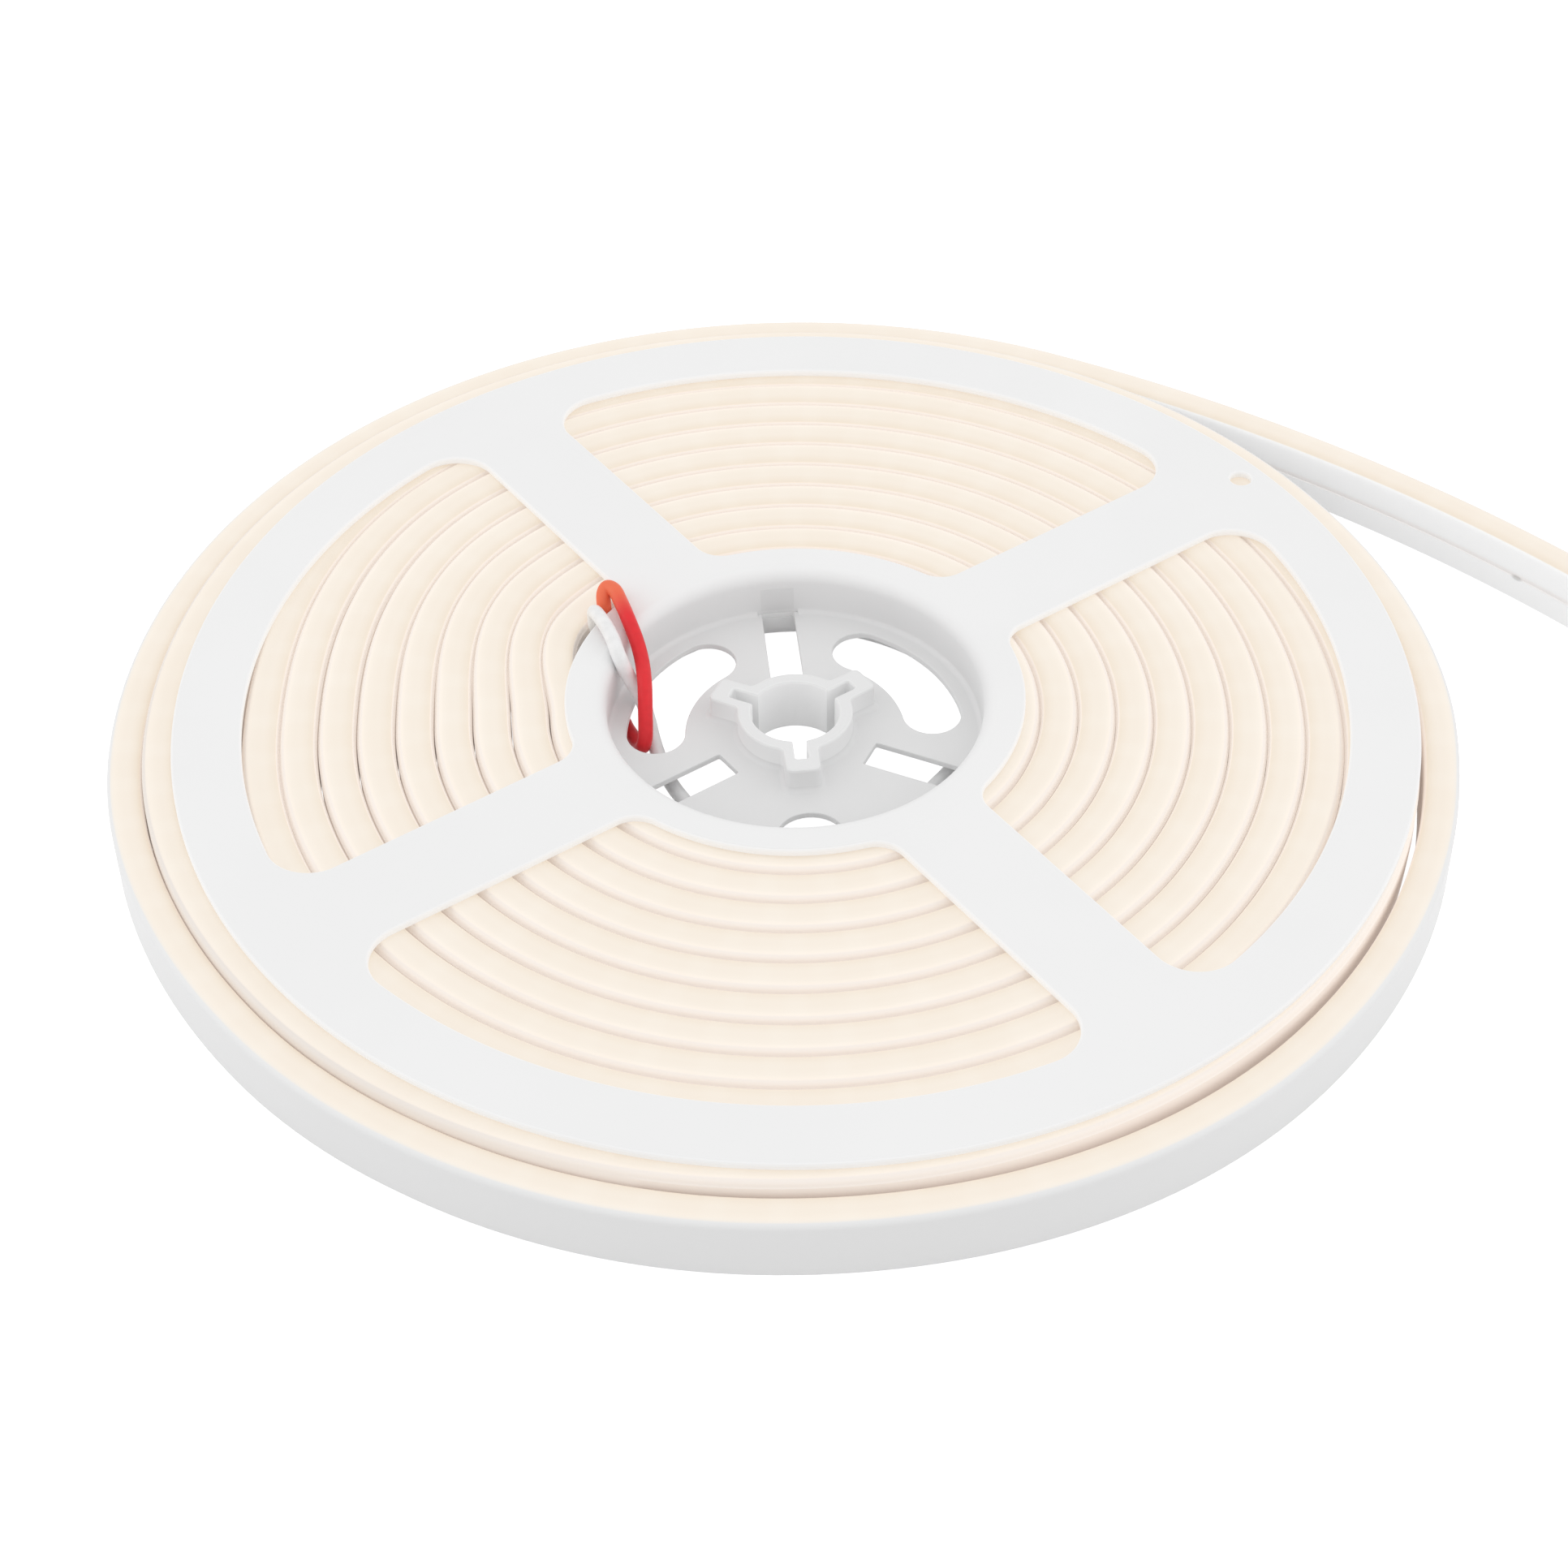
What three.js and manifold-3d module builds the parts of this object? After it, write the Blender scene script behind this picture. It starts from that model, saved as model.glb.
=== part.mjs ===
// A reel of LED neon flex: a two-piece moulded reel lying flat, with a white
// silicone light flex wound between its flanges in one flat spiral.
// The flex's lit face looks up. Its outer end leaves the roll as a tail, and
// two leads leave its inner end, cross the hub's rim and go down a slot.
// Millimetres, +Z up. The group is moved at the end so that the middle of the
// footprint is the origin; until then the origin is the reel's axis at its base.

import * as THREE from 'three';
import { mergeVertices } from 'three/addons/utils/BufferGeometryUtils.js';
import Module from 'manifold-3d';

const wasm = await Module();
wasm.setup();

const DEG = Math.PI / 180;

// Reel: driving dimensions
const flangeRadius = 90;
const flangeThickness = 1.3;
const hubRadius = 30.1;
const sleeveWall = 1.2;
const collarWall = 1.1;
const fitGap = 0.3;
const mouthFillet = 2.3;
const mouldTurn = 35;

// Windows in both flanges
const windowCount = 4;
const rimWidth = 10;
const windowInnerRadius = 33.5;
const spokeWidth = 15.2;
const windowOuterCorner = 6.5;
const windowInnerCorner = 4.5;
const startHoleRadius = 1.65;
const startHoleInset = 4;

// Hub web and arbor
const webThickness = 1;
const webDepth = 7.8;
const arborRadius = 6.5;
const arborWall = 1.95;
const arborTopDepth = 3.8;
const arborFootClearance = 0.3;
const keywayCount = 3;
const keywayWidth = 2;
const keywayReach = 10.3;
const keywayWall = 1.55;
const keywayEndWall = 2.7;
const kidneyMidRadius = 20.5;
const kidneyHalfWidth = 4.3;
const kidneyHalfSpan = 25.5;
const roundHoleRadius = 4.9;
const roundHolePlace = 22.6;
const hookSlotWidth = 4.9;
const hookSlotStart = 11.9;

// Snap hooks on the sleeve and their windows in the collar
const hookWidth = 5;
const hookHeight = 4.4;
const hookReach = 1;

// Flex
const flexWidth = 5;
const flexHeight = 9.8;
const flexTopChamfer = 0.8;
const turnGap = 0.51;
const turnGapSwing = 0.14;
const turnGapSwingAt = 60;
const leastGap = 0.06;
const stepsPerTurn = 45;
const capLength = 6.5;
const capGap = 0.34;
const seatAllowance = 0.1;

// Winding: turns are counted clockwise from the angle where a turn starts to
// climb over the one inside it
const climbStart = 184;
const climbSpan = 50;
const firstClimbSpan = 35;
const innerEndAngle = 137;
const looseFromTurn = 10.5;
const looseBlend = 0.28;
const tailLeaveAngle = 66;
const tailBendRadius = 268;
const tailLength = 112;
const turnsToTail = 12;

// Slack of the two loose outer turns, as [turn, millimetres] over an even spiral
const outerSlack = [
  [8.8, 0], [9.15, -0.4], [9.5, 0], [9.95, 0.2], [10.15, -0.8], [10.42, -0.5],
  [10.6, 0], [10.76, -0.4], [10.9, 0.6], [11, 1.7], [11.12, 2.2], [11.26, 1.8],
  [11.42, 1.1], [11.52, 1.5], [11.64, 1.2], [11.77, -0.2], [11.89, -0.3],
  [12, 1.3], [12.12, 1.8], [12.4, 1.7],
];
// A turn leaves the lower flange for the ground as it gets this far clear of it
const sinkStart = 0.5;
const sinkEnd = 1;

// Leads
const leadRadius = 1.1;
const leadSides = 8;
const leadSteps = 46;

// Worked-out heights
const reelHeight = 2 * flangeThickness + flexHeight + 2 * fitGap;
const flexBase = flangeThickness + fitGap;
const webTop = reelHeight - webDepth;
const webFoot = webTop - webThickness;
const arborTop = reelHeight - arborTopDepth;
const arborOuter = arborRadius + arborWall;
const sleeveInner = hubRadius - sleeveWall;
const collarOuter = sleeveInner - fitGap;
const collarInner = collarOuter - collarWall;
const windowOuterRadius = flangeRadius - rimWidth;
const hubSeat = hubRadius + fitGap + seatAllowance;

// Points of an arc, both ends included, with a facet about every stepDeg
function arcPoints(cx, cy, radius, from, to, stepDeg) {
  const count = Math.max(2, Math.ceil(Math.abs(to - from) / stepDeg));
  const points = [];
  for (let i = 0; i <= count; i += 1) {
    const angle = (from + ((to - from) * i) / count) * DEG;
    points.push(new THREE.Vector2(cx + radius * Math.cos(angle), cy + radius * Math.sin(angle)));
  }
  return points;
}

// A closed geometry as a solid, and a solid back as a geometry
function toSolid(geometry) {
  const bare = geometry.clone();
  bare.deleteAttribute('normal');
  bare.deleteAttribute('uv');
  const merged = mergeVertices(bare, 1e-4);
  return new wasm.Manifold(new wasm.Mesh({
    numProp: 3,
    vertProperties: new Float32Array(merged.attributes.position.array),
    triVerts: new Uint32Array(merged.index.array),
  }));
}

function toGeometry(solid) {
  const mesh = solid.getMesh();
  const geometry = new THREE.BufferGeometry();
  geometry.setAttribute('position', new THREE.BufferAttribute(mesh.vertProperties, 3));
  geometry.setIndex(new THREE.BufferAttribute(mesh.triVerts, 1));
  geometry.computeVertexNormals();
  return geometry;
}

// A flat outline raised from one height to another
function prism(points, low, high) {
  const geometry = new THREE.ExtrudeGeometry(new THREE.Shape(points), {
    depth: high - low,
    bevelEnabled: false,
    steps: 1,
  });
  geometry.translate(0, 0, low);
  return geometry;
}

// A profile of [radius, height] pairs turned about the reel's axis
function revolve(profile, segments) {
  const ring = profile.map(([radius, height]) => new THREE.Vector2(radius, height));
  ring.push(ring[0].clone());
  const geometry = new THREE.LatheGeometry(ring, segments);
  geometry.rotateX(Math.PI / 2);
  return geometry;
}

function turned(geometry, degrees) {
  const copy = geometry.clone();
  copy.rotateZ(degrees * DEG);
  return copy;
}

// Window between two spokes, the first spoke at 0 degrees: two arcs about the
// axis, joined to the spokes' straight edges by round corners
function windowOutline() {
  const half = spokeWidth / 2;
  const pitch = 360 / windowCount;
  const outerCentre = windowOuterRadius - windowOuterCorner;
  const innerCentre = windowInnerRadius + windowInnerCorner;
  const outerAngle = Math.asin((half + windowOuterCorner) / outerCentre) / DEG;
  const innerAngle = Math.asin((half + windowInnerCorner) / innerCentre) / DEG;
  const at = (distance, angle) => [distance * Math.cos(angle * DEG), distance * Math.sin(angle * DEG)];
  const corner = (distance, angle, radius, from, to) =>
    arcPoints(...at(distance, angle), radius, from, to, 16);
  return [
    ...arcPoints(0, 0, windowOuterRadius, outerAngle, pitch - outerAngle, 5),
    ...corner(outerCentre, pitch - outerAngle, windowOuterCorner, pitch - outerAngle, pitch + 90).slice(1),
    ...corner(innerCentre, pitch - innerAngle, windowInnerCorner, pitch + 90, pitch + 180 - innerAngle),
    ...arcPoints(0, 0, windowInnerRadius, pitch - innerAngle, innerAngle, 8).slice(1),
    ...corner(innerCentre, innerAngle, windowInnerCorner, innerAngle + 180, 270).slice(1),
    ...corner(outerCentre, outerAngle, windowOuterCorner, -90, outerAngle).slice(0, -1),
  ];
}

function cutWindows(solid, low, high) {
  const cutter = prism(windowOutline(), low, high);
  let result = solid;
  for (let i = 0; i < windowCount; i += 1) {
    result = result.subtract(toSolid(turned(cutter, mouldTurn + (i * 360) / windowCount)));
  }
  return result;
}

// The round mouth of the hub, from the flange's face down to the wall:
// side 1 is the upper mouth and side -1 the lower one
function mouthProfile(wallRadius, face, side) {
  const centre = new THREE.Vector2(wallRadius + mouthFillet, face - side * mouthFillet);
  return arcPoints(centre.x, centre.y, mouthFillet, 180, 180 - side * 90, 18)
    .map((point) => [point.x, point.y]);
}

// A box laid along +X, from one radius to another
function radialBar(from, to, width, low, high) {
  const geometry = new THREE.BoxGeometry(to - from, width, high - low);
  geometry.translate((from + to) / 2, 0, (low + high) / 2);
  return geometry;
}

// Upper half: flange, round mouth and a collar that drops into the sleeve
function upperFlange() {
  const underside = reelHeight - flangeThickness;
  const collarFoot = webTop + fitGap;
  const profile = [
    [flangeRadius, underside],
    [flangeRadius, reelHeight],
    ...mouthProfile(collarInner, reelHeight, 1).reverse(),
    [collarInner, collarFoot],
    [collarOuter, collarFoot],
    [collarOuter, underside],
  ];
  let solid = toSolid(revolve(profile, 72));
  solid = cutWindows(solid, underside - 1, reelHeight + 1);
  const hole = new THREE.CylinderGeometry(startHoleRadius, startHoleRadius, flangeThickness + 2, 16);
  hole.rotateX(Math.PI / 2);
  hole.translate(flangeRadius - startHoleInset, 0, reelHeight - flangeThickness / 2);
  solid = solid.subtract(toSolid(turned(hole, mouldTurn)));
  const window = radialBar(
    collarInner - 1,
    sleeveInner,
    hookWidth + 2 * fitGap,
    collarFoot - 1,
    collarFoot + hookHeight + fitGap,
  );
  for (let i = 0; i < keywayCount; i += 1) {
    solid = solid.subtract(toSolid(turned(window, mouldTurn + 60 + (i * 360) / keywayCount)));
  }
  return toGeometry(solid);
}

// Slot with round ends that follows a circle about the axis
function kidneyOutline() {
  const inner = kidneyMidRadius - kidneyHalfWidth;
  const outer = kidneyMidRadius + kidneyHalfWidth;
  const end = (angle) => [
    kidneyMidRadius * Math.cos(angle * DEG),
    kidneyMidRadius * Math.sin(angle * DEG),
  ];
  return [
    ...arcPoints(0, 0, outer, -kidneyHalfSpan, kidneyHalfSpan, 8),
    ...arcPoints(...end(kidneyHalfSpan), kidneyHalfWidth, kidneyHalfSpan, kidneyHalfSpan + 180, 22).slice(1),
    ...arcPoints(0, 0, inner, kidneyHalfSpan, -kidneyHalfSpan, 10).slice(1),
    ...arcPoints(...end(-kidneyHalfSpan), kidneyHalfWidth, 180 - kidneyHalfSpan, 360 - kidneyHalfSpan, 22).slice(1, -1),
  ];
}

// Lower half: flange, sleeve, web with its slots, and the arbor boss
function lowerFlange() {
  const arborFoot = arborFootClearance;
  const mouth = mouthProfile(collarInner, 0, -1);
  const sleeveTop = reelHeight - flangeThickness - fitGap;
  const profile = [
    [flangeRadius, 0],
    [flangeRadius, flangeThickness],
    [hubRadius, flangeThickness],
    [hubRadius, sleeveTop],
    [sleeveInner, sleeveTop],
    [sleeveInner, webTop],
    [arborOuter, webTop],
    [arborOuter, arborTop],
    [arborRadius, arborTop],
    [arborRadius, arborFoot],
    [arborOuter, arborFoot],
    [arborOuter, webFoot],
    [collarInner, webFoot],
    ...mouth,
  ];
  let solid = toSolid(revolve(profile, 72));
  solid = cutWindows(solid, -1, flangeThickness + 1);
  const lobe = radialBar(
    arborRadius + arborWall / 2,
    keywayReach + keywayEndWall,
    keywayWidth + 2 * keywayWall,
    arborFoot,
    arborTop,
  );
  const keyway = radialBar(0, keywayReach, keywayWidth, arborFoot - 1, arborTop + 1);
  const slot = radialBar(hookSlotStart, collarInner, hookSlotWidth, webFoot - 1, webTop + 1);
  const hook = radialBar(
    sleeveInner - hookReach,
    sleeveInner + sleeveWall / 2,
    hookWidth,
    webTop + 2 * fitGap,
    webTop + fitGap + hookHeight,
  );
  for (let i = 0; i < keywayCount; i += 1) {
    const turn = mouldTurn + (i * 360) / keywayCount;
    solid = solid.add(toSolid(turned(lobe, turn)));
    solid = solid.add(toSolid(turned(hook, turn + 60)));
    solid = solid.subtract(toSolid(turned(slot, turn + 60)));
  }
  for (let i = 0; i < keywayCount; i += 1) {
    solid = solid.subtract(toSolid(turned(keyway, mouldTurn + (i * 360) / keywayCount)));
  }
  const kidney = prism(kidneyOutline(), webFoot - 1, webTop + 1);
  solid = solid.subtract(toSolid(turned(kidney, mouldTurn)));
  solid = solid.subtract(toSolid(turned(kidney, mouldTurn + 120)));
  const hole = prism(arcPoints(roundHolePlace, 0, roundHoleRadius, 0, 345, 15), webFoot - 1, webTop + 1);
  solid = solid.subtract(toSolid(turned(hole, mouldTurn + 240)));
  return toGeometry(solid);
}

// Smooth step from 0 to 1
function ease(t) {
  const u = Math.min(1, Math.max(0, t));
  return u * u * (3 - 2 * u);
}

// Value of a list of [place, value] pairs, smoothly joined and flat past its ends
function along(list, place) {
  if (place <= list[0][0]) return list[0][1];
  for (let i = 1; i < list.length; i += 1) {
    const [x0, y0] = list[i - 1];
    const [x1, y1] = list[i];
    if (place <= x1) return y0 + (y1 - y0) * ease((place - x0) / (x1 - x0));
  }
  return list[list.length - 1][1];
}

// How many turns lie inside a place on the winding. The first turn lies on the
// hub. Each later one climbs over the turn inside it within the climb's span.
// The loose outer turns climb evenly all the way round.
function turnsInside(turn) {
  const lap = Math.floor(turn);
  const span = lap === 1 ? firstClimbSpan : Math.min(climbSpan, firstClimbSpan + 3 * (lap - 1));
  const stepped = lap < 1 ? 0 : lap - 1 + ease(((turn - lap) * 360) / span);
  const even = turn - 0.764;
  return THREE.MathUtils.lerp(stepped, even, ease((turn - looseFromTurn) / looseBlend));
}

// Stations of the flex's centre line from its inner end to the end of its tail.
// Each has its place, the outward direction across the flex and its base height.
function flexStations() {
  const stations = [];
  const outerRadii = [];
  const firstStep = Math.round(((climbStart - innerEndAngle) * stepsPerTurn) / 360);
  const lastTurn = turnsToTail + (climbStart - tailLeaveAngle) / 360;
  const lastStep = Math.round(lastTurn * stepsPerTurn);
  for (let i = firstStep; i <= lastStep; i += 1) {
    const turn = i / stepsPerTurn;
    const angle = climbStart - turn * 360;
    const swing = turnGapSwing * Math.cos((angle - turnGapSwingAt) * DEG);
    const pitch = flexWidth + turnGap - swing;
    const wanted = hubSeat + flexWidth + turnsInside(turn) * pitch + along(outerSlack, turn);
    const inside = outerRadii[i - stepsPerTurn];
    const radius = inside === undefined ? wanted : Math.max(wanted, inside + flexWidth + leastGap);
    outerRadii[i] = radius;
    const across = new THREE.Vector2(Math.cos(angle * DEG), Math.sin(angle * DEG));
    const place = across.clone().multiplyScalar(radius - flexWidth / 2);
    stations.push({ place, across, base: restHeight(place) });
  }
  return stations.concat(tailStations(stations[stations.length - 1]));
}

// Height of the flex's base: on the lower flange, or on the ground outside it
function restHeight(place) {
  const clear = place.length() - flexWidth / 2 - flangeRadius;
  return THREE.MathUtils.lerp(flexBase, 0, ease((clear - sinkStart) / (sinkEnd - sinkStart)));
}

// The tail leaves the roll along its tangent and bends gently round
function tailStations(leave) {
  const steps = 14;
  const stations = [];
  const heading = Math.atan2(-leave.across.x, leave.across.y);
  const place = leave.place.clone();
  for (let i = 1; i <= steps; i += 1) {
    const middle = heading - ((i - 0.5) * tailLength) / steps / tailBendRadius;
    const turnedTo = heading - (i * tailLength) / steps / tailBendRadius;
    place.x += (Math.cos(middle) * tailLength) / steps;
    place.y += (Math.sin(middle) * tailLength) / steps;
    stations.push({
      place: place.clone(),
      across: new THREE.Vector2(-Math.sin(turnedTo), Math.cos(turnedTo)),
      base: restHeight(place),
    });
  }
  return stations;
}

// Section of the flex: [across, up] from the middle of its base
function flexSection() {
  const half = flexWidth / 2;
  return [
    [-half, 0],
    [half, 0],
    [half, flexHeight - flexTopChamfer],
    [half - flexTopChamfer, flexHeight],
    [-half + flexTopChamfer, flexHeight],
    [-half, flexHeight - flexTopChamfer],
  ];
}

// Loft of a section over stations, closed with a flat face at each end
function loft(stations, section) {
  const ring = section.length;
  const positions = [];
  for (const { place, across, base } of stations) {
    for (const [side, up] of section) {
      positions.push(place.x + across.x * side, place.y + across.y * side, base + up);
    }
  }
  const index = [];
  for (let i = 0; i + 1 < stations.length; i += 1) {
    for (let j = 0; j < ring; j += 1) {
      const a = i * ring + j;
      const b = i * ring + ((j + 1) % ring);
      index.push(a, b, a + ring, b, b + ring, a + ring);
    }
  }
  const last = (stations.length - 1) * ring;
  for (let j = 1; j + 1 < ring; j += 1) {
    index.push(0, j + 1, j);
    index.push(last, last + j, last + j + 1);
  }
  const geometry = new THREE.BufferGeometry();
  geometry.setAttribute('position', new THREE.Float32BufferAttribute(positions, 3));
  geometry.setIndex(index);
  geometry.computeVertexNormals();
  return geometry;
}

// Cuts the stations at two distances along their line
function stretch(stations, from, to) {
  const result = [];
  let run = 0;
  for (let i = 0; i + 1 < stations.length; i += 1) {
    const a = stations[i];
    const b = stations[i + 1];
    const length = a.place.distanceTo(b.place);
    const mix = (t) => ({
      place: a.place.clone().lerp(b.place, t),
      across: a.across.clone().lerp(b.across, t).normalize(),
      base: a.base + (b.base - a.base) * t,
    });
    if (run <= from && from < run + length) result.push(mix((from - run) / length));
    if (run > from && run < to) result.push(a);
    if (run < to && to <= run + length) result.push(mix((to - run) / length));
    run += length;
  }
  return result;
}

function pathLength(stations) {
  let total = 0;
  for (let i = 0; i + 1 < stations.length; i += 1) {
    total += stations[i].place.distanceTo(stations[i + 1].place);
  }
  return total;
}

// Leads: hand-chosen points about the reel's axis, in from the flex's end cap
const redRoute = [
  [-23.9, 22.6, 8.8], [-25.9, 21.1, 8.9], [-27.3, 20.3, 9.8], [-28.2, 20.1, 11.4],
  [-28.4, 20.4, 13.0], [-28.4, 21.3, 14.4], [-27.8, 21.9, 15.1], [-26.7, 21.0, 15.2],
  [-25.8, 18.9, 14.8], [-24.7, 15.6, 14.5], [-23.3, 12.1, 12.8], [-22.5, 9.3, 11.1],
  [-22.1, 5.9, 10.2], [-22.0, 3.7, 8.9], [-22.0, 2.2, 7.5], [-22.0, 0.9, 5.8], [-22.1, -0.1, 4.2],
  [-22.5, -0.3, 2.9], [-23.2, 1.2, 1.8], [-24.2, 3.8, 1.3], [-25.0, 5.6, 1.2],
  [-25.5, 7.0, 1.2],
];
const whiteRoute = [
  [-23.9, 22.6, 5.6], [-26.1, 20.6, 5.6], [-27.9, 18.9, 6.6], [-29.2, 18.2, 8.6],
  [-29.7, 18.0, 11.0], [-29.75, 17.95, 12.8], [-29.6, 17.2, 14.2], [-28.9, 15.6, 14.7],
  [-27.7, 13.2, 14.6], [-26.7, 10.8, 14.1], [-25.7, 8.1, 12.9], [-24.5, 7.7, 9.6],
  [-23.2, 7.0, 7.2], [-22.3, 5.9, 5.3], [-21.6, 4.1, 3.7], [-21.1, 2.4, 2.2],
  [-20.3, -0.3, 1.3], [-19.2, -4.2, 1.2], [-17.2, -8.8, 1.2], [-13.2, -14.8, 1.2],
  [-7.6, -19.2, 1.2], [-1.0, -21.2, 1.2], [6.0, -20.9, 1.2], [12.4, -18.1, 1.2],
  [17.0, -12.9, 1.2], [19.9, -8.4, 1.2], [21.9, -5.7, 1.2], [24.0, -2.4, 1.2],
  [25.2, 1.2, 1.2],
];

function lead(route) {
  const curve = new THREE.CatmullRomCurve3(route.map((point) => new THREE.Vector3(...point)));
  const section = new THREE.Shape(arcPoints(0, 0, leadRadius, 0, 360 - 360 / leadSides, 360 / leadSides));
  return new THREE.ExtrudeGeometry(section, {
    steps: leadSteps,
    extrudePath: curve,
    bevelEnabled: false,
  });
}

const plasticWhite = { color: 0xeeeeee, roughness: 0.45, metalness: 0 };
const flexWhite = { color: 0xf6efe2, roughness: 0.55, metalness: 0 };

function named(name, geometry, look) {
  const mesh = new THREE.Mesh(geometry, new THREE.MeshStandardMaterial(look));
  mesh.name = name;
  return mesh;
}

const stations = flexStations();
const runLength = pathLength(stations);
const section = flexSection();

const reel = new THREE.Group();
reel.add(named('upper_flange', upperFlange(), plasticWhite));
reel.add(named('lower_flange', lowerFlange(), plasticWhite));
reel.add(named(
  'neon_flex',
  loft(stretch(stations, capLength + capGap, runLength - capLength - capGap), section),
  flexWhite,
));
reel.add(named('lead_end_cap', loft(stretch(stations, 0, capLength), section), flexWhite));
reel.add(named(
  'tail_end_cap',
  loft(stretch(stations, runLength - capLength, runLength), section),
  flexWhite,
));
reel.add(named('red_lead', lead(redRoute), { color: 0xe2434c, roughness: 0.4, metalness: 0 }));
reel.add(named('white_lead', lead(whiteRoute), { color: 0xe6e6e6, roughness: 0.4, metalness: 0 }));

reel.updateMatrixWorld(true);
const box = new THREE.Box3().setFromObject(reel, true);
const middle = box.getCenter(new THREE.Vector3());
reel.position.set(-middle.x, -middle.y, -box.min.z);
reel.updateMatrixWorld(true);

export default reel;
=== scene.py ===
"""A reel of LED neon flex: white moulded reel, lit cream flex, red and white lead."""

import math

import bmesh
import bpy
import numpy as np
from bpy.props import FloatProperty, FloatVectorProperty, IntProperty, PointerProperty
from mathutils import Matrix, Vector


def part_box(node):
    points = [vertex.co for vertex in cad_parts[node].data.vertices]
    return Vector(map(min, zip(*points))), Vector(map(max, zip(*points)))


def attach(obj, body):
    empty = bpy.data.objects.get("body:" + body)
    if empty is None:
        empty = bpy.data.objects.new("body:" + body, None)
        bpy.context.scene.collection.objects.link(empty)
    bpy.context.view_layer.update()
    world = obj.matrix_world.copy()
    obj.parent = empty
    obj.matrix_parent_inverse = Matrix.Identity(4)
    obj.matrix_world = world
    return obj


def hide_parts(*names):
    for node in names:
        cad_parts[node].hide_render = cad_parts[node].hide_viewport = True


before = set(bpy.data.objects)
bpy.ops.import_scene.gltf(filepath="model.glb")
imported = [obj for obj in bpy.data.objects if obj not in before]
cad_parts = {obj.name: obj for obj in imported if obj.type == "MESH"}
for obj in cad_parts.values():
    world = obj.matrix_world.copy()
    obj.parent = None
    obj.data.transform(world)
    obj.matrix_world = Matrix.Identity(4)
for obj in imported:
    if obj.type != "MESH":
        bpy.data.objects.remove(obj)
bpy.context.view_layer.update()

bl_info = {
    "name": "Neon flex reel",
    "version": (1, 0, 0),
    "blender": (4, 5, 0),
    "location": "3D View > Sidebar > Neon reel",
    "description": "Dresses the reel, its wound light flex and its two leads",
    "category": "Object",
}

MM = 0.001
LOWER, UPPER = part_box("lower_flange"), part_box("upper_flange")
AXIS = np.array([(LOWER[0][i] + LOWER[1][i]) / 2 for i in (0, 1)])
REEL_TOP = UPPER[1][2]

# The winding, as the part's source has it. Millimetres and degrees.
HUB_SEAT = 30.5
FLEX_WIDTH = 5.0
FLEX_HEIGHT = 9.8
FLEX_BASE = 1.6
TURN_GAP = 0.51
TURN_GAP_SWING = 0.14
TURN_GAP_SWING_AT = 60.0
LEAST_GAP = 0.06
CLIMB_START = 184.0
CLIMB_SPAN = 50.0
FIRST_CLIMB_SPAN = 35.0
FIRST_TURN = 6 / 45
LAST_TURN = 555 / 45
LOOSE_FROM = 10.5
LOOSE_BLEND = 0.28
EVEN_OFFSET = 0.764
SINK_START, SINK_END = 0.5, 1.0
TAIL_BEND = 268.0
TAIL_LENGTH = 112.0
CAP_LENGTH = 6.5
CAP_GAP = 0.34
OUTER_SLACK = [
    (8.8, 0), (9.15, -0.4), (9.5, 0), (9.95, 0.2), (10.15, -0.8), (10.42, -0.5),
    (10.6, 0), (10.76, -0.4), (10.9, 0.6), (11, 1.7), (11.12, 2.2), (11.26, 1.8),
    (11.42, 1.1), (11.52, 1.5), (11.64, 1.2), (11.77, -0.2), (11.89, -0.3),
    (12, 1.3), (12.12, 1.8), (12.4, 1.7),
]

# The reel's two mouldings, as the part's source has them
FLANGE_RADIUS = 90.0
FLANGE_THICKNESS = 1.3
HUB_RADIUS = 30.1
SLEEVE_INNER = 28.9
COLLAR_OUTER = 28.6
COLLAR_INNER = 27.5
MOUTH_FILLET = 2.3
MOULD_TURN = 35.0
WINDOW_OUTER = 80.0
WINDOW_INNER = 33.5
WINDOW_OUTER_CORNER = 6.5
WINDOW_INNER_CORNER = 4.5
SPOKE_WIDTH = 15.2
START_HOLE = 1.65
START_HOLE_PLACE = 86.0
REEL_HEIGHT = 13.0
WEB_TOP = 5.2
WEB_FOOT = 4.2
ARBOR_RADIUS = 6.5
ARBOR_OUTER = 8.45
ARBOR_TOP = 9.2
ARBOR_FOOT = 0.3
KEYWAY_REACH = 10.3
KEYWAY_HALF = 1.0
LOBE_REACH = 13.0
LOBE_HALF = 2.55
KIDNEY_RADIUS = 20.5
KIDNEY_HALF = 4.3
KIDNEY_SPAN = 25.5
ROUND_HOLE = 4.9
ROUND_HOLE_PLACE = 22.6
SLOT_HALF = 2.45
SLOT_START = 11.9
HOOK_HALF = 2.5
HOOK_FOOT, HOOK_TOP = 5.8, 9.9

# Where the outer turns part: the start and length of each change, in turns
GAP_WIDENS, GAP_NARROWS = (10.40, 0.08), (10.68, 0.10)
LIES_LOOSE = (10.78, 0.10)
# How much the painted glow on the outer sides grows low down where the gap widens, and drops where the
# outer turn lies loose
WIDE_LEAK, LOOSE_LEAK = 4.0, 0.6
OUTSIDE_OPENS, INSIDE_OPENS = (11.30, 0.05), (12.33, 0.06)

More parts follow.
